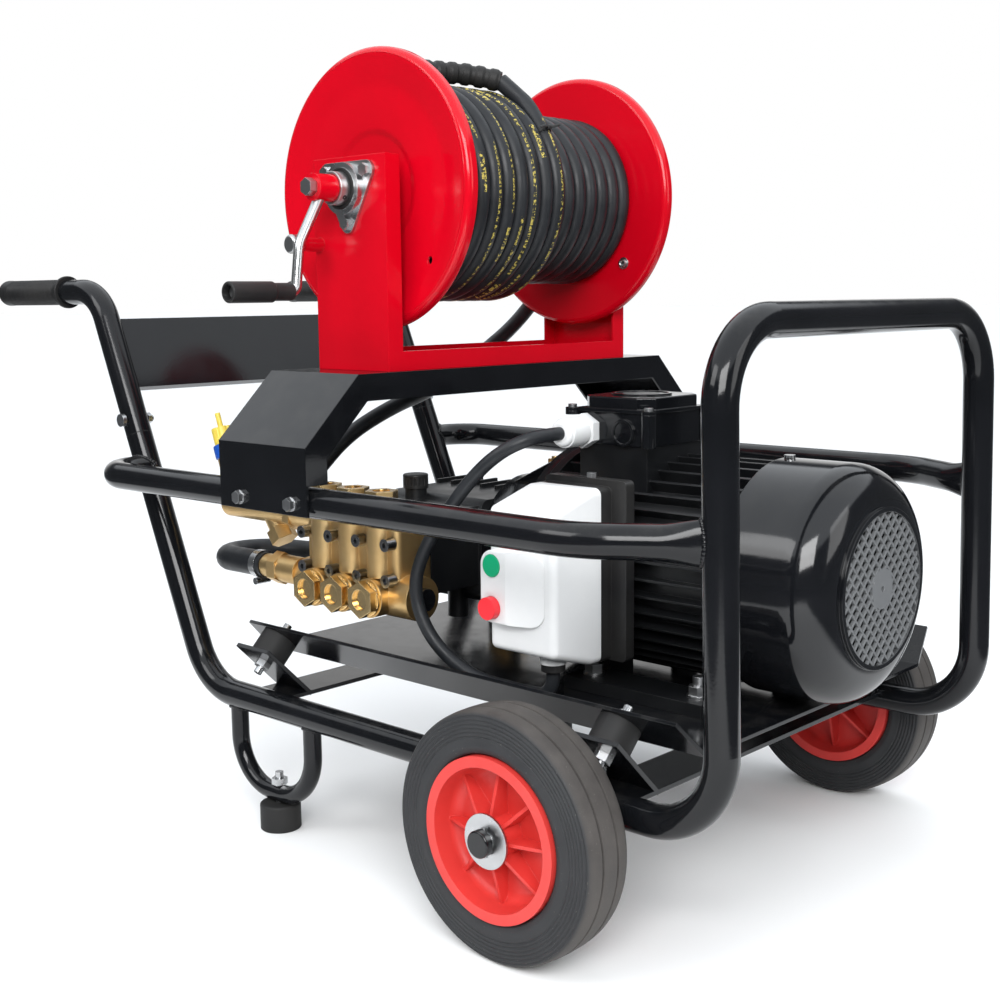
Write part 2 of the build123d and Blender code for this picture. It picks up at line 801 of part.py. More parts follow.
# Reel stand: folded U with flanges turned in, and the sleeve of the brake
post_near = stand_y - stand_half
post_far = stand_y + stand_half
stand_length = stand_front_x - stand_back_x
brake_z = reel_z - brake_drop
plate_spots = []
for k in range(3):
    a = math.radians(90 + 60 + 120 * k)
    plate_spots.append((reel_x + plate_r * math.cos(a), reel_z + plate_r * math.sin(a)))
with BuildPart() as reel_stand:
    with BuildSketch(Plane.YZ.offset(stand_back_x)):
        with Locations((stand_y, bridge_z)):
            Rectangle(2 * stand_half, stand_height, align=(Align.CENTER, Align.MIN))
        with Locations((stand_y, bridge_z + stand_t)):
            Rectangle(2 * (stand_half - stand_t), stand_height, align=(Align.CENTER, Align.MIN),
                      mode=Mode.SUBTRACT)
    extrude(amount=stand_length)
    for x in (stand_back_x, stand_front_x - stand_t):
        with BuildSketch(Plane.YZ.offset(x)):
            with Locations((stand_y, bridge_z)):
                Rectangle(2 * stand_half, stand_height, align=(Align.CENTER, Align.MIN))
            with Locations((stand_y, bridge_z + stand_flange)):
                Rectangle(2 * (stand_half - stand_flange), stand_height, align=(Align.CENTER, Align.MIN),
                          mode=Mode.SUBTRACT)
        extrude(amount=stand_t)
    rod((brake_x, post_near, brake_z), (0, -1, 0), brake_boss_r, brake_boss_length)
    rod((brake_x, stand_y, brake_z), (0, -1, 0), brake_pin_r + sliding, 2 * stand_half, Mode.SUBTRACT)
    rod((reel_x, post_near - stand_t, reel_z), (0, 1, 0), bearing_r + seam, 2 * stand_half + 2 * stand_t,
        Mode.SUBTRACT)
    for x, z in plate_spots:
        rod((x, post_near - stand_t, z), (0, 1, 0), bolt_r + slack, 2 * stand_half + 2 * stand_t,
            Mode.SUBTRACT)
    for x, y in stand_bolts:
        rod((x, y, bridge_z - stand_t), (0, 0, 1), bolt_r + slack, 3 * stand_t, Mode.SUBTRACT)
reel_stand.part.label = "reel_stand"
export_step(reel_stand.part, "parts/reel_stand.step")

# Bearings of the reel: three-cornered plates with a boss, and a ring on the shaft in each
with BuildPart() as bearing_housings:
    for face, s in ((post_near, -1), (post_far, 1)):
        with BuildSketch(Plane(origin=(reel_x, face, reel_z), x_dir=(1, 0, 0), z_dir=(0, -1, 0))):
            with BuildLine():
                Polyline(*[(x - reel_x, z - reel_z) for x, z in plate_spots], close=True)
            make_face()
            offset(amount=11, kind=Kind.ARC)
        extrude(amount=-s * plate_t)
        rod((reel_x, face, reel_z), (0, s, 0), bearing_boss_r, bearing_depth)
        rod((reel_x, face - s, reel_z), (0, s, 0), bearing_r + seam, 2 * bearing_depth, Mode.SUBTRACT)
        for x, z in plate_spots:
            rod((x, face - s, z), (0, s, 0), bolt_r + slack, 2 * bearing_depth, Mode.SUBTRACT)
        rod((reel_x, face - s * stand_t, reel_z), (0, s, 0), bearing_r, bearing_depth + stand_t + 1)
        rod((reel_x, face - 2 * s * stand_t, reel_z), (0, s, 0), shaft_r + running, 3 * bearing_depth,
            Mode.SUBTRACT)
bearing_housings.part.label = "bearing_housings"
export_step(bearing_housings.part, "parts/bearing_housings.step")

# Bolts of the handle, the bridge, the stand and the bearings
with BuildPart() as frame_bolts:
    for s in (-1, 1):
        head = (upright_x(handle_bolt_z), mid_y + s * (side_y + tube_r + seam), handle_bolt_z)
        rod(head, (0, s, 0), 8.5, bolt_head_h)
        rod(head, (0, -s, 0), bolt_r, 2 * tube_r + bolt_head_h + 4)
        nut = (head[0], mid_y + s * (side_y - tube_r - seam), head[2])
        hexagon(nut, (0, -s, 0), bolt_head, bolt_head_h)
        for x in bridge_bolts:
            seat = (x, mid_y + s * bridge_out, mid_rail_z)
            rod(seat, (0, s, 0), bolt_head * 0.62, 1.6)
            hexagon(seat, (0, s, 0), bolt_head, bolt_head_h + 1.6)
            rod(seat, (0, -s, 0), bolt_r, bridge_t + tube_r)
    for x, y in stand_bolts:
        hexagon((x, y, bridge_z + stand_t), (0, 0, 1), bolt_head, bolt_head_h)
        rod((x, y, bridge_z + stand_t), (0, 0, -1), bolt_r, stand_t + bridge_t + 2 * bolt_head_h)
    for face, s in ((post_near, -1), (post_far, 1)):
        for x, z in plate_spots:
            hexagon((x, face + s * plate_t, z), (0, s, 0), bolt_head, bolt_head_h)
            rod((x, face + s * plate_t, z), (0, -s, 0), bolt_r, plate_t + 3 * stand_t)
frame_bolts.part.label = "frame_bolts"
export_step(frame_bolts.part, "parts/frame_bolts.step")

# Reel flanges: pressed discs, stepped round the hub, with their lips both turned to the far side
reel_y = stand_y - 0.2
lip_edge = flange_dish + flange_t - flange_lip
near_rim = [
    (flange_dish, flange_flat_r),
    (-flange_flare, flange_ring_r),
    (-flange_flare, flange_r),
    (flange_lip, flange_r),
    (flange_lip, flange_r - flange_t),
    (flange_t - flange_flare, flange_r - flange_t),
    (flange_t - flange_flare, flange_ring_r),
    (flange_dish + flange_t, flange_flat_r),
]
far_rim = [
    (flange_dish, flange_r - flange_t),
    (lip_edge, flange_r - flange_t),
    (lip_edge, flange_r),
    (flange_dish + flange_t, flange_r),
]
for s, side, rim, corner in ((-1, "near", near_rim, 0), (1, "far", far_rim, -1)):
    face = Plane(origin=(reel_x, reel_y + s * reel_half, reel_z), x_dir=(0, -s, 0), z_dir=(-s, 0, 0))
    outside = [
        (flange_dish + 2, shaft_r + seam),
        (flange_dish + 2, flange_hub_r),
        (flange_dish, flange_hub_r + 6),
        *rim,
        (flange_dish + flange_t, flange_hub_r + 6),
        (flange_dish + flange_t + 2, flange_hub_r),
        (flange_dish + flange_t + 2, shaft_r + seam),
    ]
    with BuildPart() as flange:
        with BuildSketch(face) as sheet:
            with BuildLine():
                Polyline(*outside, close=True)
            make_face()
            fillet(sheet.vertices().group_by(Axis.Y)[-2].sort_by(Axis.X)[corner], flange_bend - flange_t)
            fillet(sheet.vertices().group_by(Axis.Y)[-1].sort_by(Axis.X)[corner], flange_bend)
        revolve(axis=Axis((reel_x, 0, reel_z), (0, 1, 0)))
        hole = (reel_x + flange_hole_x, reel_y + s * (reel_half + 1), reel_z - flange_hole_drop)
        rod(hole, (0, -s, 0), flange_hole_r, 2 * flange_lip, Mode.SUBTRACT)
    flange.part.label = f"flange_{side}"
    export_step(flange.part, f"parts/flange_{side}.step")

# Reel shaft and drum
shaft_end = post_near - shaft_near
web_half = reel_half - flange_dish - flange_t - 2 - seam
spigot_r = 8.0
spigot_reach = 30.0
shaft_far = post_far + bearing_depth + 4
crank_y = shaft_end + crank_in
crank_top = Vector(reel_x, crank_y, reel_z)
crank_knee_at = Vector(reel_x, crank_y - crank_knee_out, reel_z - crank_knee)
with BuildPart() as reel_drum:
    rod((reel_x, shaft_end, reel_z), (0, 1, 0), shaft_r, shaft_far - shaft_end)
    rod((reel_x, shaft_far, reel_z), (0, 1, 0), spigot_r, spigot_reach)
    rod((reel_x, reel_y - web_half, reel_z), (0, 1, 0), drum_r, 2 * web_half)
    for s in (-1, 1):
        drum_room = Plane(origin=(reel_x, reel_y + s * drum_wall, reel_z), z_dir=(0, s, 0))
        with BuildSketch(drum_room):
            Circle(drum_r - drum_wall)
            Circle(shaft_r, mode=Mode.SUBTRACT)
        extrude(amount=web_half - 2 * drum_wall, mode=Mode.SUBTRACT)
    rod(crank_top, crank_knee_at - crank_top, crank_r + seam, 2 * shaft_r, Mode.SUBTRACT)
    rod((reel_x, shaft_end, reel_z), (0, 1, 0), bolt_r + seam, crank_in - crank_r - 2, Mode.SUBTRACT)
reel_drum.part.label = "reel_drum"
export_step(reel_drum.part, "parts/reel_drum.step")

# Places of the hose's turns on the reel
wind_half = reel_half - flange_dish - flange_t
turn_room = 2 * (wind_half - hose_r - hose_side_gap)
lower_turns = math.floor(turn_room / (2 * hose_r + turn_gap)) + 1
hose_pitch = turn_room / (lower_turns - 1)
layer_step = 2 * hose_r + turn_gap
inner_turn_r = outer_turn_r - layer_step
core_r = inner_turn_r - hose_r - turn_gap / 2
turn_near = reel_y - wind_half + hose_side_gap + hose_r
turn_far = turn_near + (lower_turns - 1) * hose_pitch
ferrule_length = 24.0


def coil(angle, radius, y):
    # point of a turn, measured round from the bottom and up the front
    a = math.radians(angle)
    return Vector(reel_x + radius * math.sin(a), y, reel_z - radius * math.cos(a))


def coil_way(angle):
    a = math.radians(angle)
    return Vector(math.cos(a), 0, math.sin(a))


def biarc(p0, t0, p1, t1):
    # two arcs, tangent to each other and to both ends
    v = p1 - p0
    t = t0 + t1
    twist = 2 * (1 - t0.dot(t1))
    reach = (-v.dot(t) + math.sqrt(v.dot(t) ** 2 + twist * v.dot(v))) / twist
    join = (p0 + p1 + (t0 - t1) * reach) * 0.5
    u = (join - p0).normalized()
    t_join = u * (2 * t0.dot(u)) - t0
    TangentArc(p0, join, tangent=t0)
    TangentArc(join, p1, tangent=t_join)


# Inner layers of the hose as a plain core, with the ferrule where the outer turns start
start = coil(0, inner_turn_r, turn_far)
with BuildPart() as hose_core:
    rod((reel_x, reel_y - web_half, reel_z), (0, 1, 0), core_r, 2 * web_half)
    ferrule = start - Vector(2 * hose_r + ferrule_length, 0, 0)
    rod(ferrule, (1, 0, 0), hose_r, ferrule_length)
    with Locations(ferrule + Vector(ferrule_length / 2, 0, hose_r)):
        Box(ferrule_length, hose_r, 4 * hose_r, align=(Align.CENTER, Align.CENTER, Align.CENTER))
    rod((reel_x, reel_y - reel_half, reel_z), (0, 1, 0), drum_r + seam, 2 * reel_half, Mode.SUBTRACT)
hose_core.part.label = "hose_core"
export_step(hose_core.part, "parts/hose_core.step")

# Wound hose: one tube, up the drum in a lower layer, back in an outer one, then its free end
knots = [(start, coil_way(0))]
for i in range(lower_turns - 1):
    knots.append((coil(180, inner_turn_r, turn_far - i * hose_pitch), coil_way(180)))
    knots.append((coil(360, inner_turn_r, turn_far - (i + 1) * hose_pitch), coil_way(360)))
for i in range(upper_turns):
    knots.append((coil(180, outer_turn_r, turn_near + i * hose_pitch), coil_way(180)))
    knots.append((coil(360, outer_turn_r, turn_near + (i + 1) * hose_pitch), coil_way(360)))
tail_y = turn_near + upper_turns * hose_pitch
leave = coil(tail_angle, outer_turn_r, tail_y)
lift = outer_turn_r + hose_r
tail = [
    Vector(reel_x + 62, tail_y - 4, reel_z + lift - 13.5),
    Vector(reel_x + 41.3, tail_y - 14, reel_z + lift + 7),
    Vector(reel_x + 14.3, tail_y - 36, reel_z + lift + 15.5),
    Vector(reel_x - 3.7, tail_y - 71, reel_z + lift + 17),
    Vector(reel_x - 13.7, tail_y - 116, reel_z + lift + 16.5),
]
tail_way = (tail[1] - tail[0]).normalized()
with BuildPart() as hose_wound:
    with BuildLine() as winding:
        Line(start - Vector(2 * hose_r, 0, 0), start)
        for (p0, t0), (p1, t1) in zip(knots, knots[1:]):
            biarc(p0, t0, p1, t1)
        biarc(knots[-1][0], knots[-1][1], leave, coil_way(tail_angle))
        biarc(leave, coil_way(tail_angle), tail[0], tail_way)
        Line(tail[0], tail[1])
    with BuildSketch(Plane(origin=winding.line @ 0, z_dir=winding.line % 0)):
        Circle(hose_r)
    sweep(path=winding.wire())
hose_wound.part.label = "hose_wound"
export_step(hose_wound.part, "parts/hose_wound.step")
spots = []
for edge in winding.edges():
    for k in range(16):
        spots.append(tuple(edge.position_at(k / 16)))
spots = np.array(spots)
steps = np.r_[0, np.cumsum(np.linalg.norm(np.diff(spots, axis=0), axis=1))]
least = 1e9
for k in range(len(spots)):
    apart = np.abs(steps - steps[k]) > 8 * hose_r
    least = min(least, np.linalg.norm(spots[apart] - spots[k], axis=1).min())
print("hose turns", lower_turns + upper_turns, "length", round(winding.wire().length))
print("hose least gap to itself", round(least - 2 * hose_r, 2))
hose_fill = hose_wound.part.volume / (math.pi * hose_r**2 * winding.wire().length)
print("hose volume against section times length", hose_fill)

# Ribbed bend restrictor on the free end of the hose
with BuildPart() as bend_restrictor:
    ways = [tail_way, (tail[3] - tail[1]).normalized(), (tail[4] - tail[2]).normalized()]
    ways.append((tail[4] - tail[3]).normalized())
    with BuildLine() as sleeve:
        for k in range(3):
            biarc(tail[k + 1], ways[k], tail[k + 2], ways[k + 1])
    with BuildSketch(Plane(origin=sleeve.line @ 0, z_dir=sleeve.line % 0)):
        Circle(restrictor_r)
    sweep(path=sleeve.wire())
    for k in range(restrictor_ribs):
        at = (k + 0.6) / (restrictor_ribs + 0.4)
        with BuildSketch(Plane(origin=sleeve.wire() @ at, z_dir=sleeve.wire() % at)):
            Circle(restrictor_rib_r)
        extrude(amount=sleeve.wire().length / restrictor_ribs / 3.2, both=True)
    fillet(bend_restrictor.edges().filter_by(GeomType.CIRCLE).filter_by(
        lambda e: abs(e.radius - restrictor_rib_r) < 0.01), 1.2)
bend_restrictor.part.label = "bend_restrictor"
export_step(bend_restrictor.part, "parts/bend_restrictor.step")

# Cable tie where the free end leaves its turn
tie_angle = tail_angle - 6
tie_plane = Plane(origin=coil(tie_angle, outer_turn_r, tail_y), x_dir=(0, 1, 0), z_dir=coil_way(tie_angle))
with BuildPart() as cable_tie:
    with BuildSketch(tie_plane):
        Circle(hose_r + seam / 2 + tie_t)
        Circle(hose_r + seam / 2, mode=Mode.SUBTRACT)
    extrude(amount=tie_width / 2, both=True)
    with BuildSketch(tie_plane):
        for v in (-1, 1):
            with Locations((0, v * (hose_r + seam / 2 + tie_t / 2 + 2.4))):
                if (tie_plane.y_dir * v).dot(tie_plane.origin - Vector(reel_x, tail_y, reel_z)) > 0:
                    Rectangle(7, 5)
    extrude(amount=3.5, both=True)
    with BuildSketch(tie_plane):
        Circle(hose_r + seam / 2)
    extrude(amount=tie_width, both=True, mode=Mode.SUBTRACT)
cable_tie.part.label = "cable_tie"
export_step(cable_tie.part, "parts/cable_tie.step")

# Crank rod with its end bolt, and the loose grip on it
grip_end = -(mid_y + axle_half)
crank_foot = Vector(reel_x, crank_y - crank_foot_out, reel_z - crank_throw)
cup = 14.0
with BuildPart() as crank_rod:
    pipe(
        [crank_top, crank_knee_at, crank_foot, Vector(reel_x, grip_end + cup / 2, reel_z - crank_throw)],
        [30, 9],
        crank_r,
        0,
    )
    rod((reel_x, grip_end + cup - sliding, reel_z - crank_throw), (0, -1, 0), crank_head_r, 2)
    hexagon((reel_x, shaft_end, reel_z), (0, -1, 0), bolt_head + 4, 10)
    rod((reel_x, shaft_end, reel_z), (0, 1, 0), bolt_r, crank_in - crank_r - 3)
crank_rod.part.label = "crank_rod"
export_step(crank_rod.part, "parts/crank_rod.step")
grip_at = (reel_x, grip_end, reel_z - crank_throw)
with BuildPart() as crank_grip:
    rod(grip_at, (0, 1, 0), crank_grip_r, crank_grip_length - crank_grip_neck)
    fillet(crank_grip.edges().filter_by(GeomType.CIRCLE), 2)
    neck_at = (reel_x, grip_end + cup, reel_z - crank_throw)
    rod(neck_at, (0, 1, 0), crank_grip_neck_r, crank_grip_length - cup)
    fillet(crank_grip.edges().filter_by(GeomType.CIRCLE).group_by(Axis.Y)[-1], 1.5)
    rod(grip_at, (0, 1, 0), crank_r + running, crank_grip_length, Mode.SUBTRACT)
    rod(grip_at, (0, 1, 0), crank_head_r + 2 * sliding, cup, Mode.SUBTRACT)
crank_grip.part.label = "crank_grip"
export_step(crank_grip.part, "parts/crank_grip.step")

# Brake screw that bears on the near flange
brake_back = reel_y - reel_half + flange_dish - brake_travel - 0.5
brake_knob_y = post_near - brake_boss_length - brake_travel - 0.5
with BuildPart() as brake_screw:
    rod((brake_x, brake_back, brake_z), (0, -1, 0), brake_pin_r, brake_back - brake_knob_y)
    rod((brake_x, brake_knob_y, brake_z), (0, -1, 0), brake_knob_r, brake_knob_length)
    fillet(brake_screw.edges().filter_by(GeomType.CIRCLE).group_by(Axis.Y)[0], 4)
brake_screw.part.label = "brake_screw"
export_step(brake_screw.part, "parts/brake_screw.step")

# Swivel on the far end of the shaft, with its hose port turned back and down
swivel_y = shaft_far + spigot_reach / 2
swivel_r = 17.0
port_way = Vector(-0.68, 0, -0.733).normalized()
port_length = 34.0
swivel_at = Vector(reel_x, swivel_y, reel_z)
with BuildPart() as swivel:
    rod((reel_x, shaft_far + 1, reel_z), (0, 1, 0), swivel_r, spigot_reach + 3)
    rod(swivel_at, port_way, 12, port_length)
    hexagon(swivel_at + port_way * (port_length - 14), port_way, 27, 10)
    rod((reel_x, shaft_far, reel_z), (0, 1, 0), spigot_r + running, spigot_reach + 1, Mode.SUBTRACT)
swivel.part.label = "swivel"
export_step(swivel.part, "parts/swivel.step")

# Motor housing: finned barrel, end shields and cast feet
cavity_r = motor_r - motor_wall
shield = 12.0
ring_r = cowl_r - cowl_t - seam
pad_y = starter_front_y + starter_depth + starter_base_t
with BuildPart() as motor_body:
    with BuildSketch(Plane(origin=(motor_back_x, axis_y, axis_z), x_dir=(0, 1, 0), z_dir=(1, 0, 0))):
        Circle(motor_r)
        with PolarLocations((motor_r + fin_r) / 2 - 1, fin_count):
            Rectangle(fin_r - motor_r + 2, fin_t)
    extrude(amount=motor_front_x - motor_back_x)
    rod((motor_back_x, axis_y, axis_z), (1, 0, 0), motor_flange_r, shield)
    rod((motor_front_x - shield, axis_y, axis_z), (1, 0, 0), ring_r, shield)
    for s in (-1, 1):
        with Locations((foot_x + foot_b / 2, axis_y + s * foot_a / 2, tray_z)):
            Box(foot_b + foot_pad, foot_pad + 8, foot_t, align=(Align.CENTER, Align.CENTER, Align.MIN))
        for x in (foot_x, foot_x + foot_b):
            with Locations((x, axis_y + s * (foot_a / 2 - foot_pad), tray_z)):
                Box(8, foot_pad, shaft_height * 0.6, align=(Align.CENTER, Align.CENTER, Align.MIN))
    with Locations((box_x + box_length / 2, box_near_y + box_width / 2, axis_z)):
        Box(box_length - 2 * box_neck, box_width - 2 * box_neck, box_z - axis_z,
            align=(Align.CENTER, Align.CENTER, Align.MIN))
    with Locations((starter_x + starter_width / 2, pad_y, axis_z)):
        Box(starter_width - 22, axis_y - pad_y - motor_r / 2, 60,
            align=(Align.CENTER, Align.MIN, Align.CENTER))
    cavity_length = motor_front_x - motor_back_x - 2 * shield
    rod((motor_back_x + shield, axis_y, axis_z), (1, 0, 0), cavity_r, cavity_length, Mode.SUBTRACT)
    rod((motor_back_x - 1, axis_y, axis_z), (1, 0, 0), motor_shaft_r + running, motor_front_x, Mode.SUBTRACT)
    for x, y in foot_places:
        rod((x, y, tray_z - 1), (0, 0, 1), foot_bolt_r + slack, foot_t + 2, Mode.SUBTRACT)
motor_body.part.label = "motor_body"
export_step(motor_body.part, "parts/motor_body.step")

# Stator inside the housing
stator_x = foot_x + foot_b / 2 - stator_length / 2 - 15
with BuildPart() as stator:
    rod((stator_x, axis_y, axis_z), (1, 0, 0), cavity_r - seam, stator_length)
    rod((stator_x, axis_y, axis_z), (1, 0, 0), rotor_r + 1, stator_length, Mode.SUBTRACT)
stator.part.label = "stator"
export_step(stator.part, "parts/stator.step")

# Shaft of the motor, with the rotor and the pump's three eccentrics on it
fan_shaft_r = 14.0
fan_x = motor_front_x + 32
fan_width = 40.0
lobe_x = [pump_x + pump_width / 2 + lobe_pitch * k - 0.4 for k in (-1, 0, 1)]
case_in = pump_x + case_wall
with BuildPart() as motor_shaft:
    rod((case_in - case_wall / 2, axis_y, axis_z), (1, 0, 0), motor_shaft_r, motor_front_x + 6 - case_in)
    rod((motor_front_x, axis_y, axis_z), (1, 0, 0), fan_shaft_r, fan_x + fan_width - motor_front_x)
    rod((stator_x, axis_y, axis_z), (1, 0, 0), rotor_r, stator_length)
    for k in range(3):
        a = math.radians(120 * k)
        throw = (lobe_x[k] - 12, axis_y + 8 * math.cos(a), axis_z + 8 * math.sin(a))
        rod(throw, (1, 0, 0), motor_shaft_r + 9, 24)
motor_shaft.part.label = "motor_shaft"
export_step(motor_shaft.part, "parts/motor_shaft.step")

# Cooling fan under the cowl
with BuildPart() as cooling_fan:
    rod((fan_x, axis_y, axis_z), (1, 0, 0), 2 * fan_shaft_r, fan_width)
    rod((fan_x, axis_y, axis_z), (1, 0, 0), 0.7 * fan_r, 3)
    with BuildSketch(Plane(origin=(fan_x, axis_y, axis_z), x_dir=(0, 1, 0), z_dir=(1, 0, 0))):
        with PolarLocations((fan_r + fan_shaft_r) / 2 + 4, fan_blades):
            Rectangle(fan_r - fan_shaft_r - 8, 3)
    extrude(amount=fan_width - 6)
    rod((fan_x - 1, axis_y, axis_z), (1, 0, 0), fan_shaft_r + seam, fan_width + 2, Mode.SUBTRACT)
cooling_fan.part.label = "cooling_fan"
export_step(cooling_fan.part, "parts/cooling_fan.step")

# Fan cowl with its lattice grille
cowl_back = motor_front_x - shield - 2
cowl_bend_x = cowl_back + cowl_straight
cowl_end = cowl_bend_x + cowl_round
grille_r = cowl_r - cowl_round
lattice_x = cowl_end + grille_rim - 5
with BuildPart() as fan_cowl:
    with BuildSketch(Plane(origin=(0, axis_y, axis_z), x_dir=(1, 0, 0), z_dir=(0, -1, 0))):
        with BuildLine():
            Line((cowl_back, cowl_r), (cowl_bend_x, cowl_r))
            TangentArc((cowl_bend_x, cowl_r), (cowl_end, grille_r), tangent=(1, 0))
            Line((cowl_end, grille_r), (cowl_end + grille_rim, grille_r))
            Line((cowl_end + grille_rim, grille_r), (cowl_end + grille_rim, grille_r - 5))
            Line((cowl_end + grille_rim, grille_r - 5), (cowl_end - 3, grille_r - 5))
            Line((cowl_end - 3, grille_r - 5), (cowl_end - 3, grille_r))
            TangentArc((cowl_bend_x, cowl_r - cowl_t), (cowl_end - 3, grille_r), tangent=(1, 0))
            Line((cowl_bend_x, cowl_r - cowl_t), (cowl_back, cowl_r - cowl_t))
            Line((cowl_back, cowl_r - cowl_t), (cowl_back, cowl_r))
        make_face()
    revolve(axis=Axis((0, axis_y, axis_z), (1, 0, 0)))
    with BuildSketch(Plane(origin=(lattice_x, axis_y, axis_z), x_dir=(0, 1, 0), z_dir=(1, 0, 0))):
        bars = math.floor(grille_r / grille_pitch)
        for k in range(-bars, bars + 1):
            for turn in (45, -45):
                a = math.radians(turn + 90)
                with Locations((k * grille_pitch * math.cos(a), k * grille_pitch * math.sin(a))):
                    Rectangle(3 * grille_r, grille_bar, rotation=turn)
        Circle(grille_r - 4, mode=Mode.INTERSECT)
        Circle(grille_disc_r)
        Circle(3, mode=Mode.SUBTRACT)
    extrude(amount=3.5)
    for k in range(3):
        a = math.radians(90 + 120 * k)
        way = Vector(0, math.cos(a), math.sin(a))
        inside = Vector(motor_front_x - shield / 2, axis_y, axis_z) + way * (ring_r - 1)
        rod(inside, way, screw_r + slack, 10, Mode.SUBTRACT)
fan_cowl.part.label = "fan_cowl"
export_step(fan_cowl.part, "parts/fan_cowl.step")

# Terminal box on top of the motor, with eared corners, a plugged outlet and a stepped lid
box_mid = (box_x + box_length / 2, box_near_y + box_width / 2)
box_top = box_z + box_h
ears = []
for e in (-1, 1):
    for s in (-1, 1):
        ear_x = box_mid[0] + e * (box_length / 2 + ear_out)
        ears.append((ear_x, box_mid[1] + s * (box_width / 2 + ear_out)))
with BuildPart() as terminal_box:
    with Locations((*box_mid, box_z)):
        Box(box_length, box_width, box_h, align=(Align.CENTER, Align.CENTER, Align.MIN))
    fillet(terminal_box.edges().filter_by(Axis.Z), 8)
    for x, y in ears:
        rod((x, y, box_top), (0, 0, -1), ear_r, lid_rim_t if (x, y) == ears[0] else box_h)
    with Locations((*box_mid, box_z + 5)):
        Box(box_length - 36, box_width - 36, box_h, align=(Align.CENTER, Align.CENTER, Align.MIN),
            mode=Mode.SUBTRACT)
    rod((knockout_x, box_near_y, gland_z), (0, -1, 0), knockout_r, 3)
    rod((knockout_x, box_near_y - 3, gland_z), (0, 1, 0), knockout_r - 3, 1.2, Mode.SUBTRACT)
    for x, y in ears:
        rod((x, y, box_top), (0, 0, -1), screw_r + seam, lid_rim_t + 1, Mode.SUBTRACT)
    rod((gland_x, box_near_y - 1, gland_z), (0, 1, 0), cable_r + seam, 30, Mode.SUBTRACT)
terminal_box.part.label = "terminal_box"
export_step(terminal_box.part, "parts/terminal_box.step")
with BuildPart() as terminal_lid:
    with Locations((*box_mid, box_top)):
        Box(box_length - 4, box_width - 4, lid_h, align=(Align.CENTER, Align.CENTER, Align.MIN))
    chamfer(terminal_lid.edges().filter_by(Axis.Z), lid_corner)
    fillet(terminal_lid.edges().group_by(Axis.Z)[-1], 2)
    with Locations((*box_mid, box_top)):
        Box(box_length + 4, box_width + 4, lid_rim_t, align=(Align.CENTER, Align.CENTER, Align.MIN))
    for x, y in ears:
        rod((x, y, box_top), (0, 0, 1), ear_r, lid_rim_t)
    rod((*box_mid, box_top), (0, 0, 1), 34, lid_h + 2)
    rod((*box_mid, box_top + lid_h + 2), (0, 0, -1), 30, 1, Mode.SUBTRACT)
    for x, y in ears:
        rod((x, y, box_top - 1), (0, 0, 1), screw_r + slack, lid_h, Mode.SUBTRACT)
terminal_lid.part.label = "terminal_lid"
export_step(terminal_lid.part, "parts/terminal_lid.step")

# White cable gland of the terminal box
with BuildPart() as cable_gland:
    rod((gland_x, box_near_y, gland_z), (0, -1, 0), gland_r - 2, gland_length)
    hexagon((gland_x, box_near_y, gland_z), (0, -1, 0), 2 * gland_r, 11)
    rod((gland_x, box_near_y - 15, gland_z), (0, -1, 0), gland_r - 0.5, gland_length - 22)
    fillet(cable_gland.edges().filter_by(GeomType.CIRCLE).group_by(Axis.Y)[0], 5)
cable_gland.part.label = "cable_gland"
export_step(cable_gland.part, "parts/cable_gland.step")

# Starter: black back with a plate and a gland, pale cover with a raised panel, and two buttons
starter_mid = starter_x + starter_width / 2
starter_back = starter_front_y + starter_depth
starter_low = starter_z - starter_splay
starter_full = starter_height + 2 * starter_splay
starter_top = starter_low + starter_full
starter_panel_y = starter_front_y - starter_panel_t
panel_edge = button_r + starter_panel_rim
panel_left = starter_x + button_in - panel_edge
panel_low = starter_z + red_up - panel_edge
raised_height = green_up - red_up + 2 * panel_edge
button_x = starter_x + button_in
buttons = ((starter_z + green_up, green_out), (starter_z + red_up, red_out))
boss_r = starter_gland_r + 1
boss_drop = starter_splay * (starter_gland_in + boss_r) / (starter_depth - starter_land) + slack
starter_gland = Vector(starter_gland_x, starter_front_y + starter_gland_in, starter_z - boss_drop)
with BuildPart() as starter_base:
    with Locations((starter_mid, starter_back, starter_low + starter_full / 2)):
        Box(starter_width, starter_base_t, starter_full, align=(Align.CENTER, Align.MIN, Align.CENTER))
    with Locations((starter_x, pad_y, starter_top + starter_plate_rise)):
        Box(starter_width + starter_plate_over, starter_plate_t, starter_full + starter_plate_rise,
            align=(Align.MIN, Align.MAX, Align.MAX))
    fillet(starter_base.edges().filter_by(Axis.Y), 6)
    rod(starter_gland, (0, 0, -1), starter_gland_r, starter_gland_length)
starter_base.part.label = "starter_base"
export_step(starter_base.part, "parts/starter_base.step")
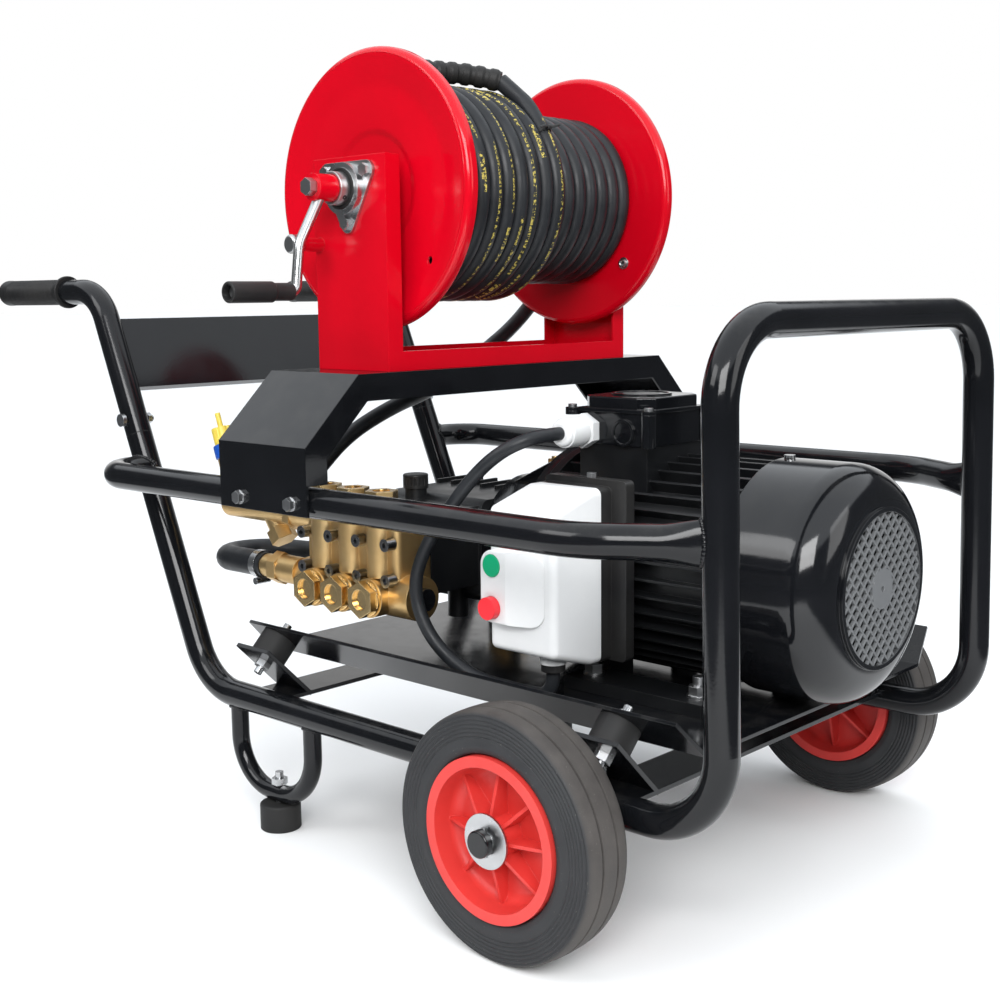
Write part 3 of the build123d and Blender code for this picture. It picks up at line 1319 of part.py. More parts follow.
with BuildPart() as starter_cover:
    with BuildSketch(Plane.YZ.offset(starter_x)):
        with BuildLine():
            Polyline(
                (starter_front_y, starter_z),
                (starter_front_y, starter_z + starter_height),
                (starter_back - starter_land, starter_top),
                (starter_back, starter_top),
                (starter_back, starter_low),
                (starter_back - starter_land, starter_low),
                close=True,
            )
        make_face()
    extrude(amount=starter_width)
    fillet([e for e in starter_cover.edges() if e.center().Y < starter_back - 1], starter_round)
    with BuildSketch(Plane.XZ.offset(-starter_front_y - starter_wall)):
        with Locations((panel_left, panel_low)):
            RectangleRounded(starter_panel_width, raised_height, panel_edge - seam,
                             align=(Align.MIN, Align.MIN))
    extrude(amount=starter_panel_t + starter_wall)
    fillet(starter_cover.edges().group_by(Axis.Y)[0], 2)
    with BuildSketch(Plane.XY.offset(panel_low - 1)):
        with BuildLine():
            Polyline(
                (panel_left + starter_panel_flat, starter_panel_y),
                (panel_left + starter_panel_width, starter_front_y - starter_wall / 4),
                (panel_left + starter_panel_width, starter_panel_y),
                close=True,
            )
        make_face()
    extrude(amount=raised_height + 2, mode=Mode.SUBTRACT)
    rod(starter_gland, (0, 0, 1), boss_r, starter_splay)
    with Locations((starter_mid, starter_front_y + starter_round, starter_z + starter_height / 2)):
        Box(starter_width - 4 * starter_wall, starter_depth, starter_height - 4 * starter_wall,
            align=(Align.CENTER, Align.MIN, Align.CENTER), mode=Mode.SUBTRACT)
    with BuildSketch(Plane.XZ.offset(-starter_panel_y - starter_wall)):
        with Locations((panel_left + starter_wall, panel_low + starter_wall)):
            RectangleRounded(starter_panel_flat - starter_wall, raised_height - 2 * starter_wall,
                             panel_edge - starter_wall - seam, align=(Align.MIN, Align.MIN))
    extrude(amount=-starter_panel_t - starter_round, mode=Mode.SUBTRACT)
    for z, out in buttons:
        rod((button_x, starter_panel_y - 1, z), (0, 1, 0), button_r + sliding, 2 * starter_wall,
            Mode.SUBTRACT)
starter_cover.part.label = "starter_cover"
export_step(starter_cover.part, "parts/starter_cover.step")
button_back = starter_panel_y + starter_wall + sliding
for (z, out), colour in zip(buttons, ("green", "red")):
    with BuildPart() as button:
        rod((button_x, starter_panel_y - out, z), (0, 1, 0), button_r, starter_wall + sliding + out)
        fillet(button.edges().filter_by(GeomType.CIRCLE).group_by(Axis.Y)[0], 0.8 * green_out)
        rod((button_x, button_back, z), (0, 1, 0), button_r + button_flange, 3)
    button.part.label = f"button_{colour}"
    export_step(button.part, f"parts/button_{colour}.step")

# Bolts of the motor's feet, and screws of the terminal lid, the cowl and the starter's plate
with BuildPart() as motor_bolts:
    for x, y in foot_places:
        rod((x, y, tray_z + foot_t), (0, 0, 1), 2 * foot_bolt_r, 2.5)
        hexagon((x, y, tray_z + foot_t), (0, 0, 1), 19, 12)
        rod((x, y, tray_z - tray_t), (0, 0, 1), foot_bolt_r, tray_t + foot_t + 22)
        hexagon((x, y, tray_z - tray_t), (0, 0, -1), 19, 7.5)
    for x, y in ears:
        rod((x, y, box_top + lid_rim_t), (0, 0, 1), 2 * screw_r - 1, 3.5)
        rod((x, y, box_top + lid_rim_t), (0, 0, -1), screw_r, 2 * lid_rim_t)
    for k in range(3):
        a = math.radians(90 + 120 * k)
        way = Vector(0, math.cos(a), math.sin(a))
        seat = Vector(motor_front_x - shield / 2, axis_y, axis_z) + way * (cowl_r + seam)
        rod(seat, way, 2 * screw_r, 3.5)
        rod(seat, way * -1, screw_r, cowl_t + seam)
    plate_top = starter_top + starter_plate_rise
    hexagon((starter_mid + 14, pad_y - starter_plate_t / 2, plate_top), (0, 0, 1), 10, 5)
motor_bolts.part.label = "motor_bolts"
export_step(motor_bolts.part, "parts/motor_bolts.step")

# Pump head in brass: block, lobes over the three cylinders, manifold and bosses
head_back = head_front_y + head_depth
head_low = axis_z - head_drop
head_top = axis_z + head_rise
manifold_z = axis_z - manifold_drop
outlet_z = axis_z + outlet_rise
outlet_reach = 34.0
lobe_y = head_front_y + 5
top_cap_y = head_front_y + top_cap_back
bolt_spots = []
for k in range(4):
    for row in (bolt_row_up, bolt_row_down):
        bolt_spots.append((lobe_x[0] + (k - 0.5) * lobe_pitch, axis_z + row))
with BuildPart() as pump_head:
    with Locations((pump_x + pump_width / 2, head_front_y, head_low)):
        Box(pump_width, head_depth, head_drop + head_rise, align=(Align.CENTER, Align.MIN, Align.MIN))
    fillet(pump_head.edges().filter_by(Axis.Z), 9)
    fillet(pump_head.edges().filter_by(Axis.X).group_by(Axis.Y)[0].group_by(Axis.Z)[-1], 8)
    boss_length = manifold_y - head_front_y + cap_reach - cap_thick
    for x in lobe_x:
        rod((x, lobe_y, manifold_z + cap_boss_r), (0, 0, 1), lobe_r, head_top - manifold_z - cap_boss_r)
        rod((x, top_cap_y, head_top - 10), (0, 0, 1), lobe_r + 4, 10 + top_boss_h)
        rod((x, manifold_y, manifold_z), (0, -1, 0), cap_boss_r, boss_length)
    manifold_length = pump_width + 2 * manifold_over
    rod((pump_x - manifold_over, manifold_y, manifold_z), (1, 0, 0), manifold_r, manifold_length)
    rod((pump_x + 20, manifold_y, outlet_z), (-1, 0, 0), 20, outlet_reach + 20)
    for x, z in bolt_spots:
        rod((x, head_front_y - 20, z), (0, 1, 0), head_bolt_head_r + 1, 20, Mode.SUBTRACT)
        rod((x, head_front_y - 1, z), (0, 1, 0), head_bolt_r + slack, 42, Mode.SUBTRACT)
pump_head.part.label = "pump_head"
export_step(pump_head.part, "parts/pump_head.step")

# Hexagon valve caps of the pump, and the brass plug on the bell housing
bell_x = pump_x + pump_width
bell_run = motor_back_x - bell_flange_t - bell_x
bell_bend = (bell_run**2 + (motor_flange_r - bell_small_r) ** 2) / (2 * (motor_flange_r - bell_small_r))


def bell_at(x):
    # radius of the bell, an arc that opens to the motor's flange
    return bell_small_r + bell_bend - math.sqrt(bell_bend**2 - (x - bell_x) ** 2)


plug_z = axis_z + bell_at(plug_x + 10) + 0.5
with BuildPart() as valve_caps:
    for x in lobe_x:
        face = Vector(x, head_front_y - cap_reach + cap_thick, manifold_z)
        rod(face, (0, -1, 0), cap_hex / 2 + 2.5, 4)
        hexagon(face, (0, -1, 0), cap_hex, cap_thick)
        rod(face - Vector(0, cap_thick, 0), (0, 1, 0), cap_hex / 3.2, 4, Mode.SUBTRACT)
        top = Vector(x, top_cap_y, head_top + top_boss_h)
        hexagon(top, (0, 0, 1), top_cap_hex, 11)
        rod(top + Vector(0, 0, 11), (0, 0, -1), top_cap_hex / 3.2, 4, Mode.SUBTRACT)
    hexagon((plug_x, axis_y, plug_z), (0, 0, 1), 17, 7)
    rod((plug_x, axis_y, plug_z), (0, 0, 1), 5, 10)
valve_caps.part.label = "valve_caps"
export_step(valve_caps.part, "parts/valve_caps.step")

# Socket bolts of the pump head
with BuildPart() as head_bolts:
    for x, z in bolt_spots:
        rod((x, head_front_y, z), (0, -1, 0), head_bolt_head_r, head_bolt_head_h)
        rod((x, head_front_y, z), (0, 1, 0), head_bolt_r, 40)
        rod((x, head_front_y - head_bolt_head_h, z), (0, 1, 0), 3.4, 5, Mode.SUBTRACT)
head_bolts.part.label = "head_bolts"
export_step(head_bolts.part, "parts/head_bolts.step")

# Black crankcase: top ribbed behind the axis, plunger block, oil filler and drain boss
case_front = axis_y - case_back
case_top = axis_z + case_rise
neck_top = case_top + 6
with BuildPart() as crankcase:
    with Locations((pump_x + pump_width / 2, axis_y, axis_z - case_drop)):
        Box(pump_width, 2 * case_back, case_drop + case_rise, align=(Align.CENTER, Align.CENTER, Align.MIN))
    fillet(crankcase.edges().filter_by(Axis.X), 16)
    with Locations((pump_x + pump_width / 2, head_back, axis_z)):
        Box(pump_width - 8, case_front + 30 - head_back, 2 * case_rise - 14,
            align=(Align.CENTER, Align.MIN, Align.CENTER))
    rib_gap = (pump_width - rib_t) / (case_ribs - 1)
    for k in range(case_ribs):
        with Locations((pump_x + rib_t / 2 + k * rib_gap, axis_y + 4, case_top - 3)):
            Box(rib_t, case_back - 24, rib_h + 3, align=(Align.CENTER, Align.MIN, Align.MIN))
    rod((oil_x, oil_y, case_top - 24), (0, 0, 1), oil_neck_r + 3, neck_top - case_top + 24)
    rod((drain_x, oil_y, axis_z), (0, 0, -1), drain_r, case_drop + drain_length)
    rod((case_in, axis_y, axis_z), (1, 0, 0), motor_shaft_r + 26, pump_width - 2 * case_wall, Mode.SUBTRACT)
    rod((case_in - case_wall / 2 - 1, axis_y, axis_z), (1, 0, 0), motor_shaft_r + running, 2 * pump_width,
        Mode.SUBTRACT)
    rod((oil_x, oil_y, neck_top - 14), (0, 0, 1), oil_neck_r - 2, 20, Mode.SUBTRACT)
crankcase.part.label = "crankcase"
export_step(crankcase.part, "parts/crankcase.step")
with BuildPart() as oil_cap:
    rod((oil_x, oil_y, neck_top + sliding), (0, 0, 1), oil_cap_r, oil_cap_h)
    fillet(oil_cap.edges().filter_by(GeomType.CIRCLE).group_by(Axis.Z)[-1], 2)
    rod((oil_x, oil_y, neck_top + 1), (0, 0, -1), oil_neck_r - 2 - sliding, 12)
    with Locations(Plane(origin=(oil_x, oil_y, neck_top + oil_cap_h / 2))):
        with PolarLocations(oil_cap_r, 16):
            Cylinder(1.0, oil_cap_h / 2, mode=Mode.SUBTRACT)
oil_cap.part.label = "oil_cap"
export_step(oil_cap.part, "parts/oil_cap.step")

# Bell housing between the pump and the motor, opening in an arc, with ribs and a boss for its plug
bell_end = motor_back_x - bell_flange_t
bell_face = bell_x + bell_wall
bell_bore = bell_small_r - bell_wall - 30
with BuildPart() as bell_housing:
    with BuildSketch(Plane(origin=(0, axis_y, axis_z), x_dir=(1, 0, 0), z_dir=(0, -1, 0))):
        with BuildLine():
            Line((bell_x, bell_bore), (bell_x, bell_small_r))
            TangentArc((bell_x, bell_small_r), (bell_end, motor_flange_r), tangent=(1, 0))
            Line((bell_end, motor_flange_r), (motor_back_x, motor_flange_r))
            Line((motor_back_x, motor_flange_r), (motor_back_x, motor_flange_r - bell_wall))
            Line((motor_back_x, motor_flange_r - bell_wall), (bell_end + 2, motor_flange_r - bell_wall))
            TangentArc((bell_face, bell_small_r - bell_wall), (bell_end + 2, motor_flange_r - bell_wall),
                       tangent=(1, 0))
            Line((bell_face, bell_small_r - bell_wall), (bell_face, bell_bore))
            Line((bell_face, bell_bore), (bell_x, bell_bore))
        make_face()
    revolve(axis=Axis((0, axis_y, axis_z), (1, 0, 0)))
    rib_foot = [bell_x + 8 + (bell_run - 10) * k / 6 for k in range(7)]
    rib_line = [(x, bell_at(x) - 2) for x in rib_foot]
    rib_top = [(bell_end + 1, motor_flange_r - 3), (bell_x + 10, bell_at(bell_x + 10))]
    for k in range(bell_ribs):
        a = math.radians(360 / bell_ribs * (k + 0.5))
        blade = Plane(origin=(0, axis_y, axis_z), x_dir=(1, 0, 0), z_dir=(0, -math.cos(a), math.sin(a)))
        with BuildSketch(blade):
            with BuildLine():
                Polyline(*rib_line, *rib_top, close=True)
            make_face()
        extrude(amount=rib_t / 2, both=True)
    rod((plug_x, axis_y, plug_z), (0, 0, -1), 12, bell_wall)
bell_housing.part.label = "bell_housing"
export_step(bell_housing.part, "parts/bell_housing.step")

# Black plugs on the ends of the axle and in the end of the manifold
with BuildPart() as end_plugs:
    mouth = pin_y + pin_r + sliding
    for s in (-1, 1):
        rod((axle_x, mid_y + s * mouth, axle_z), (0, s, 0), end_plug_r, axle_half + end_plug_t - mouth)
    fillet(end_plugs.edges().filter_by(GeomType.CIRCLE).group_by(Axis.Y)[0], end_plug_t - 1)
    fillet(end_plugs.edges().filter_by(GeomType.CIRCLE).group_by(Axis.Y)[-1], end_plug_t - 1)
    for s in (-1, 1):
        rod((axle_x, mid_y, axle_z), (0, s, 0), axle_r + seam, axle_half + seam, Mode.SUBTRACT)
    manifold_end = pump_x + pump_width + manifold_over
    rod((manifold_end, manifold_y, manifold_z), (1, 0, 0), manifold_plug_r, manifold_plug_h)
end_plugs.part.label = "end_plugs"
export_step(end_plugs.part, "parts/end_plugs.step")

# Pressure regulator in brass, with its tilted spring tower
tower_way = Vector(-math.sin(math.radians(regulator_tilt)), 0, math.cos(math.radians(regulator_tilt)))
reg_start = Vector(pump_x - outlet_reach, manifold_y, outlet_z)
reg_end = reg_start - Vector(regulator_length, 0, 0)
tower_at = reg_end + Vector(16, 0, 0)
tower_length = 62.0
feed_way = Vector(0.18, 0.62, 0.76).normalized()
feed_reach = 34.0
feed_root = reg_start + Vector(-24, 0, 0)
feed_start = feed_root + feed_way * feed_reach
with BuildPart() as regulator_body:
    rod(reg_start, (-1, 0, 0), regulator_r, regulator_length)
    hexagon(reg_start, (-1, 0, 0), 40, 12)
    rod(tower_at, tower_way, 14, tower_length)
    hexagon(tower_at + tower_way * 26, tower_way, 32, 12)
    rod(reg_start + Vector(-60, 0, 0), (26.5, 0, -37), 13, 48)
    hexagon(reg_start + Vector(-60, 0, 0) + Vector(26.5, 0, -37).normalized() * 30, (26.5, 0, -37), 30, 18)
    rod(feed_root, feed_way, 11, feed_reach)
    hexagon(feed_start - feed_way * 15, feed_way, 26, 10)
    rod(tower_at + tower_way * (tower_length - 12), tower_way, 6 + seam, 13, Mode.SUBTRACT)
regulator_body.part.label = "regulator_body"
export_step(regulator_body.part, "parts/regulator_body.step")
with BuildPart() as regulator_collar:
    rod(tower_at + tower_way * tower_length, tower_way, 16, collar_length)
    fillet(regulator_collar.edges().filter_by(GeomType.CIRCLE), 2)
    rod(tower_at + tower_way * (tower_length - 1), tower_way, 6 + running, collar_length + 2, Mode.SUBTRACT)
regulator_collar.part.label = "regulator_collar"
export_step(regulator_collar.part, "parts/regulator_collar.step")
knob_at = tower_at + tower_way * (tower_length + collar_length + sliding)
with BuildPart() as regulator_knob:
    rod(knob_at, tower_way, knob_r, knob_length)
    with Locations(Plane(origin=knob_at + tower_way * knob_length / 2, z_dir=tower_way)):
        with PolarLocations(knob_r + 1, 6):
            Cylinder(3, knob_length + 2, mode=Mode.SUBTRACT)
    rod(knob_at + tower_way, tower_way * -1, 6, collar_length + 10)
    rod(knob_at + tower_way * knob_length, tower_way, 3.5, 20)
regulator_knob.part.label = "regulator_knob"
export_step(regulator_knob.part, "parts/regulator_knob.step")

# Feed hose from the regulator up to the swivel, behind the bridge and the stand
feed_end = swivel_at + port_way * port_length
feed_points = [
    tuple(feed_start),
    tuple(feed_start + feed_way * 28),
    (-52, -106, 474),
    (-37, -44, 505.5),
    (-34.5, 18, 522),
    (-34.5, 80, 545),
    (-34.5, 135, 574),
    (-34, 184, 601),
    (-28, 224, 637),
    tuple(feed_end + port_way * 64 + Vector(0, -2, 0)),
    tuple(feed_end + port_way * 30),
    tuple(feed_end),
]
with BuildPart() as feed_hose:
    feed_length = pipe(feed_points, soft_bends(feed_points), feed_r, 0)
feed_hose.part.label = "feed_hose"
export_step(feed_hose.part, "parts/feed_hose.step")
say_hose("feed hose", feed_points, feed_r, feed_hose.part, feed_length)

# Suction hose from the manifold round to the inlet coupling on the far side
inlet_x = pump_x - manifold_over
suction_start = Vector(inlet_x - inlet_nipple, manifold_y - 10, manifold_z + 8)
coupling_at = Vector(coupling_x, coupling_y - 40, coupling_z)
suction_points = [
    tuple(suction_start),
    tuple(suction_start - Vector(52, 0, 0)),
    (-206, -189, 309),
    (-230, -158, 307),
    (-228, -122, 306),
    (-196, -97, 306),
    (-142, -82, 305),
    (-92, -48, 303),
    (-65, 5, 301),
    (-62, 70, 301),
    tuple(coupling_at - Vector(0, 36, 0)),
    tuple(coupling_at),
]
with BuildPart() as suction_hose:
    suction_length = pipe(suction_points, soft_bends(suction_points), suction_r, 0)
suction_hose.part.label = "suction_hose"
export_step(suction_hose.part, "parts/suction_hose.step")
say_hose("suction hose", suction_points, suction_r, suction_hose.part, suction_length)

# Brass hose fittings: at the manifold, and the inlet coupling in its bracket
with BuildPart() as water_fittings:
    rod((inlet_x, suction_start.Y, suction_start.Z), (-1, 0, 0), 15, inlet_nipple)
    rod((inlet_x, suction_start.Y, suction_start.Z), (-1, 0, 0), 17.5, inlet_nipple / 2)
    hexagon((inlet_x - inlet_nipple / 2, suction_start.Y, suction_start.Z), (-1, 0, 0), 36, 16)
    rod(coupling_at, (0, 1, 0), coupling_r, coupling_y - coupling_at.Y + 40)
    hexagon((coupling_x, coupling_y, coupling_z), (0, -1, 0), 38, 14)
    hexagon((coupling_x, coupling_y + tray_t, coupling_z), (0, 1, 0), 38, 12)
water_fittings.part.label = "water_fittings"
export_step(water_fittings.part, "parts/water_fittings.step")

# Worm clamps on both ends of the suction hose
clamp_places = (
    (suction_start - Vector(clamp_in, 0, 0), Vector(-1, 0, 0)),
    (coupling_at - Vector(0, clamp_in, 0), Vector(0, -1, 0)),
)
with BuildPart() as hose_clamps:
    for at, way in clamp_places:
        side = Vector(-way.Y, way.X, 0)
        worm = at + way * (clamp_width / 2) - Vector(0, 0, suction_r + seam + worm_r)
        rod(at, way, suction_r + seam + clamp_t, clamp_width)
        rod(worm - side * (worm_length / 2), side, worm_r, worm_length)
        rod(at, way, suction_r + seam, clamp_width, Mode.SUBTRACT)
hose_clamps.part.label = "hose_clamps"
export_step(hose_clamps.part, "parts/hose_clamps.step")

# Cable from the terminal box down to the gland under the starter
cable_end = starter_gland - Vector(0, 0, starter_gland_length)
cable_points = [
    (gland_x, box_near_y - gland_length, gland_z),
    (gland_x, box_near_y - gland_length - 24.5, gland_z),
    (300, -161, 493),
    (280, -176, 481),
    (256, -186, 460),
    (228, -196, 426),
    (188, -204, 372),
    (170, -208, 319),
    (196, -206, 265),
    (246, -194, 230),
    (300, -183.5, 224),
    tuple(cable_end - Vector(17.6, 0.2, 30.3)),
    tuple(cable_end - Vector(6.4, 0, 23.9)),
    tuple(cable_end - Vector(0, 0, 12.7)),
    tuple(cable_end),
]
with BuildPart() as cable:
    cable_length = pipe(cable_points, soft_bends(cable_points), cable_r, 0)
cable.part.label = "cable"
export_step(cable.part, "parts/cable.step")
say_hose("cable", cable_points, cable_r, cable.part, cable_length)
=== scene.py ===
import bpy
import math
import numpy as np
from mathutils import Matrix


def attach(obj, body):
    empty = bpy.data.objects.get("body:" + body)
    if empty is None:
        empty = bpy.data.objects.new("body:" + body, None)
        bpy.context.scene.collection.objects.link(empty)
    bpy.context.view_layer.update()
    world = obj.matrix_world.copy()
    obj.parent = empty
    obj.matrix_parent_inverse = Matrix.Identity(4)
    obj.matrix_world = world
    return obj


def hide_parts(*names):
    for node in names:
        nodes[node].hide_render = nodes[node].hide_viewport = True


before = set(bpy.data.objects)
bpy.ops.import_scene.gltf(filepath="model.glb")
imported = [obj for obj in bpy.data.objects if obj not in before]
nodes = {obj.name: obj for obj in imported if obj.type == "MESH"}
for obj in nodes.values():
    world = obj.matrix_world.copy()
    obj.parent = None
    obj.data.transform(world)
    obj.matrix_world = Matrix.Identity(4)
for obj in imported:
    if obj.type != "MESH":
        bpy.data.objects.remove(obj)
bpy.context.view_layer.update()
mm = 0.001
scene = bpy.context.scene
scene.view_settings.view_transform = "Standard"
print("frame loaded,", len(nodes), "nodes")


# Camera at the photograph's place: turned left, a little down, hardly rolled
photoCamera = dict(place=(1.29605, -1.2677, 0.6462), turn=43.028, down=8.311, roll=-0.631, lens=50.318,
                   sensor=36.0)


def setCamera(c):
    a, e, r = np.radians([c["turn"], c["down"], c["roll"]])
    right = np.array([np.cos(a), np.sin(a), 0.0])
    back = np.array([np.sin(a) * np.cos(e), -np.cos(a) * np.cos(e), np.sin(e)])
    up = np.cross(back, right)
    pose = np.eye(4)
    pose[:3, 0] = np.cos(r) * right + np.sin(r) * up
    pose[:3, 1] = np.cos(r) * up - np.sin(r) * right
    pose[:3, 2] = back
    pose[:3, 3] = c["place"]
    data = bpy.data.cameras.new("photoCamera")
    data.lens = c["lens"]
    data.sensor_width = data.sensor_height = c["sensor"]
    data.sensor_fit = "HORIZONTAL"
    data.clip_end = 200
    camera = bpy.data.objects.new("photoCamera", data)
    camera.matrix_world = Matrix(pose.tolist())
    scene.collection.objects.link(camera)
    scene.camera = camera


setCamera(photoCamera)


# Shader helpers
def addNode(tree, kind, settings=None, **inputs):
    made = tree.nodes.new(kind)
    for key, value in (settings or {}).items():
        setattr(made, key, value)
    for key, value in inputs.items():
        socket = made.inputs[int(key[1:])] if key[1:].isdigit() else made.inputs[key.replace("_", " ")]
        if isinstance(value, bpy.types.NodeSocket):
            tree.links.new(value, socket)
        else:
            socket.default_value = value
    return made


def mathNode(tree, operation, a, b=0.0, c=0.0):
    return addNode(tree, "ShaderNodeMath", dict(operation=operation), i0=a, i1=b, i2=c).outputs[0]


def ramp(tree, value, low, high, toLow=0.0, toHigh=1.0):  # smooth step between two values
    made = addNode(tree, "ShaderNodeMapRange", dict(interpolation_type="SMOOTHSTEP"))
    for k, v in enumerate((value, low, high, toLow, toHigh)):
        if isinstance(v, bpy.types.NodeSocket):
            tree.links.new(v, made.inputs[k])
        else:
            made.inputs[k].default_value = v
    return made.outputs[0]


def blendColour(tree, factor, first, second):
    made = addNode(tree, "ShaderNodeMix", dict(data_type="RGBA"))
    for k, v in ((0, factor), (6, first), (7, second)):
        if isinstance(v, bpy.types.NodeSocket):
            tree.links.new(v, made.inputs[k])
        else:
            made.inputs[k].default_value = v if k == 0 else (*v, 1.0)
    return made.outputs[2]


def noise(tree, place, scale, detail=2.0, rough=0.5):
    return addNode(tree, "ShaderNodeTexNoise", None, Vector=place, Scale=scale, Detail=detail,
                   Roughness=rough).outputs["Fac"]


def farFrom(tree, first, firstAt, second, secondAt):  # distance of a place from an axis
    a = mathNode(tree, "SUBTRACT", first, firstAt)
    b = mathNode(tree, "SUBTRACT", second, secondAt)
    return mathNode(tree, "SQRT",
                    mathNode(tree, "ADD", mathNode(tree, "MULTIPLY", a, a), mathNode(tree, "MULTIPLY", b, b)))


def newFinish(name, **sockets):
    material = bpy.data.materials.new(name)
    material.use_nodes = True
    shader = material.node_tree.nodes["Principled BSDF"]
    for key, value in sockets.items():
        socket = shader.inputs[key.replace("_", " ")]
        socket.default_value = (*value, 1.0) if isinstance(value, tuple) else value
    return material, material.node_tree, shader


def alongWay(tree, place, direction):  # how far a place lies along a level direction
    return addNode(tree, "ShaderNodeVectorMath", dict(operation="DOT_PRODUCT"), i0=place,
                   i1=(*direction, 0.0)).outputs["Value"]


# Studio: pale floor, soft panel overhead, white behind, and grey outside the photograph's view
studio = dict(
    floor=(0.90, 0.90, 0.895), greyFloor=(0.08, 0.082, 0.086), floorReach=60.0,
    right=(0.731, 0.682), ahead=(-0.682, 0.731),  # level directions of the photograph's view
    viewEdge=(0.358, 1.81), middle=0.083, greyAside=(0.40, 0.64), greyFront=(-1.9, -2.8),
    surround=(1.0, 1.0, 1.0), wall=(0.10, 0.105, 0.11), between=(0.09, 0.095, 0.105),
    overhead=(1.42, 1.48, 1.55), surroundTop=(13.0, 24.0), overheadStart=(27.0, 32.0),
    wallAside=(0.42, 0.82), wallFront=(-0.3, -0.8), lampAim=(0.05, 0.0, 0.45),
    lamps=[dict(place=(2.2, -2.3, 2.0), size=(2.0, 1.4), power=100.0),
           dict(place=(-0.7, -2.6, 2.2), size=(1.6, 1.1), power=24.0),
           dict(place=(2.7, 0.5, 1.3), size=(1.2, 1.2), power=12.0)],
)


def buildStudio(s):
    world = bpy.data.worlds.new("studio")
    scene.world = world
    world.use_nodes = True
    tree = world.node_tree
    way = addNode(tree, "ShaderNodeTexCoord").outputs["Generated"]
    height = addNode(tree, "ShaderNodeSeparateXYZ", None, Vector=way).outputs["Z"]
    aside = ramp(tree, mathNode(tree, "ABSOLUTE", alongWay(tree, way, s["right"])), *s["wallAside"])
    front = ramp(tree, alongWay(tree, way, s["ahead"]), *s["wallFront"])
    level = blendColour(tree, mathNode(tree, "MAXIMUM", aside, front), s["surround"], s["wall"])
    low, high = np.sin(np.radians(s["surroundTop"]))
    sky = blendColour(tree, ramp(tree, height, float(low), float(high)), level, s["between"])
    low, high = np.sin(np.radians(s["overheadStart"]))
    sky = blendColour(tree, ramp(tree, height, float(low), float(high)), sky, s["overhead"])
    tree.links.new(sky, tree.nodes["Background"].inputs["Color"])

    reach = s["floorReach"]
    mesh = bpy.data.meshes.new("floor")
    mesh.from_pydata([(-reach, -reach, 0), (reach, -reach, 0), (reach, reach, 0), (-reach, reach, 0)], [],
                     [(0, 1, 2, 3)])
    floor = bpy.data.objects.new("floor", mesh)
    scene.collection.objects.link(floor)
    paper, tree, shader = newFinish("paleFloor", Roughness=0.9, Specular_IOR_Level=0.1)
    place = addNode(tree, "ShaderNodeTexCoord").outputs["Object"]
    deep = alongWay(tree, place, s["ahead"])
    widen, start = s["viewEdge"]
    off = mathNode(tree, "ABSOLUTE",
                   mathNode(tree, "SUBTRACT", alongWay(tree, place, s["right"]), s["middle"]))
    edge = mathNode(tree, "SUBTRACT", off,
                    mathNode(tree, "MULTIPLY", mathNode(tree, "ADD", deep, start), widen))
    grey = mathNode(tree, "MAXIMUM", ramp(tree, edge, *s["greyAside"]), ramp(tree, deep, *s["greyFront"]))
    tree.links.new(blendColour(tree, grey, s["floor"], s["greyFloor"]), shader.inputs["Base Color"])
    mesh.materials.append(paper)

    for k, lampLook in enumerate(s["lamps"]):
        data = bpy.data.lights.new("softLamp" + str(k), "AREA")
        data.shape = "RECTANGLE"
        data.size, data.size_y = lampLook["size"]
        data.energy = lampLook["power"]
        lamp = bpy.data.objects.new("softLamp" + str(k), data)
        back = np.array(lampLook["place"]) - np.array(s["lampAim"])
        back /= np.linalg.norm(back)
        side = np.cross((0, 0, 1), back)
        side /= np.linalg.norm(side)
        pose = np.eye(4)
        pose[:3, :] = np.stack([side, np.cross(back, side), back, lampLook["place"]], axis=1)
        lamp.matrix_world = Matrix(pose.tolist())
        scene.collection.objects.link(lamp)


buildStudio(studio)
print("studio set")


# Node groups that several finishes share
def newGroup(name, inputs, outputs):
    group = bpy.data.node_groups.new(name, "ShaderNodeTree")
    for label, value in inputs.items():
        socket = group.interface.new_socket(name=label, in_out="INPUT", socket_type="NodeSocketFloat")
        socket.default_value = value
    for label, kind in outputs.items():
        group.interface.new_socket(name=label, in_out="OUTPUT", socket_type=kind)
    return group, group.nodes.new("NodeGroupInput"), group.nodes.new("NodeGroupOutput")


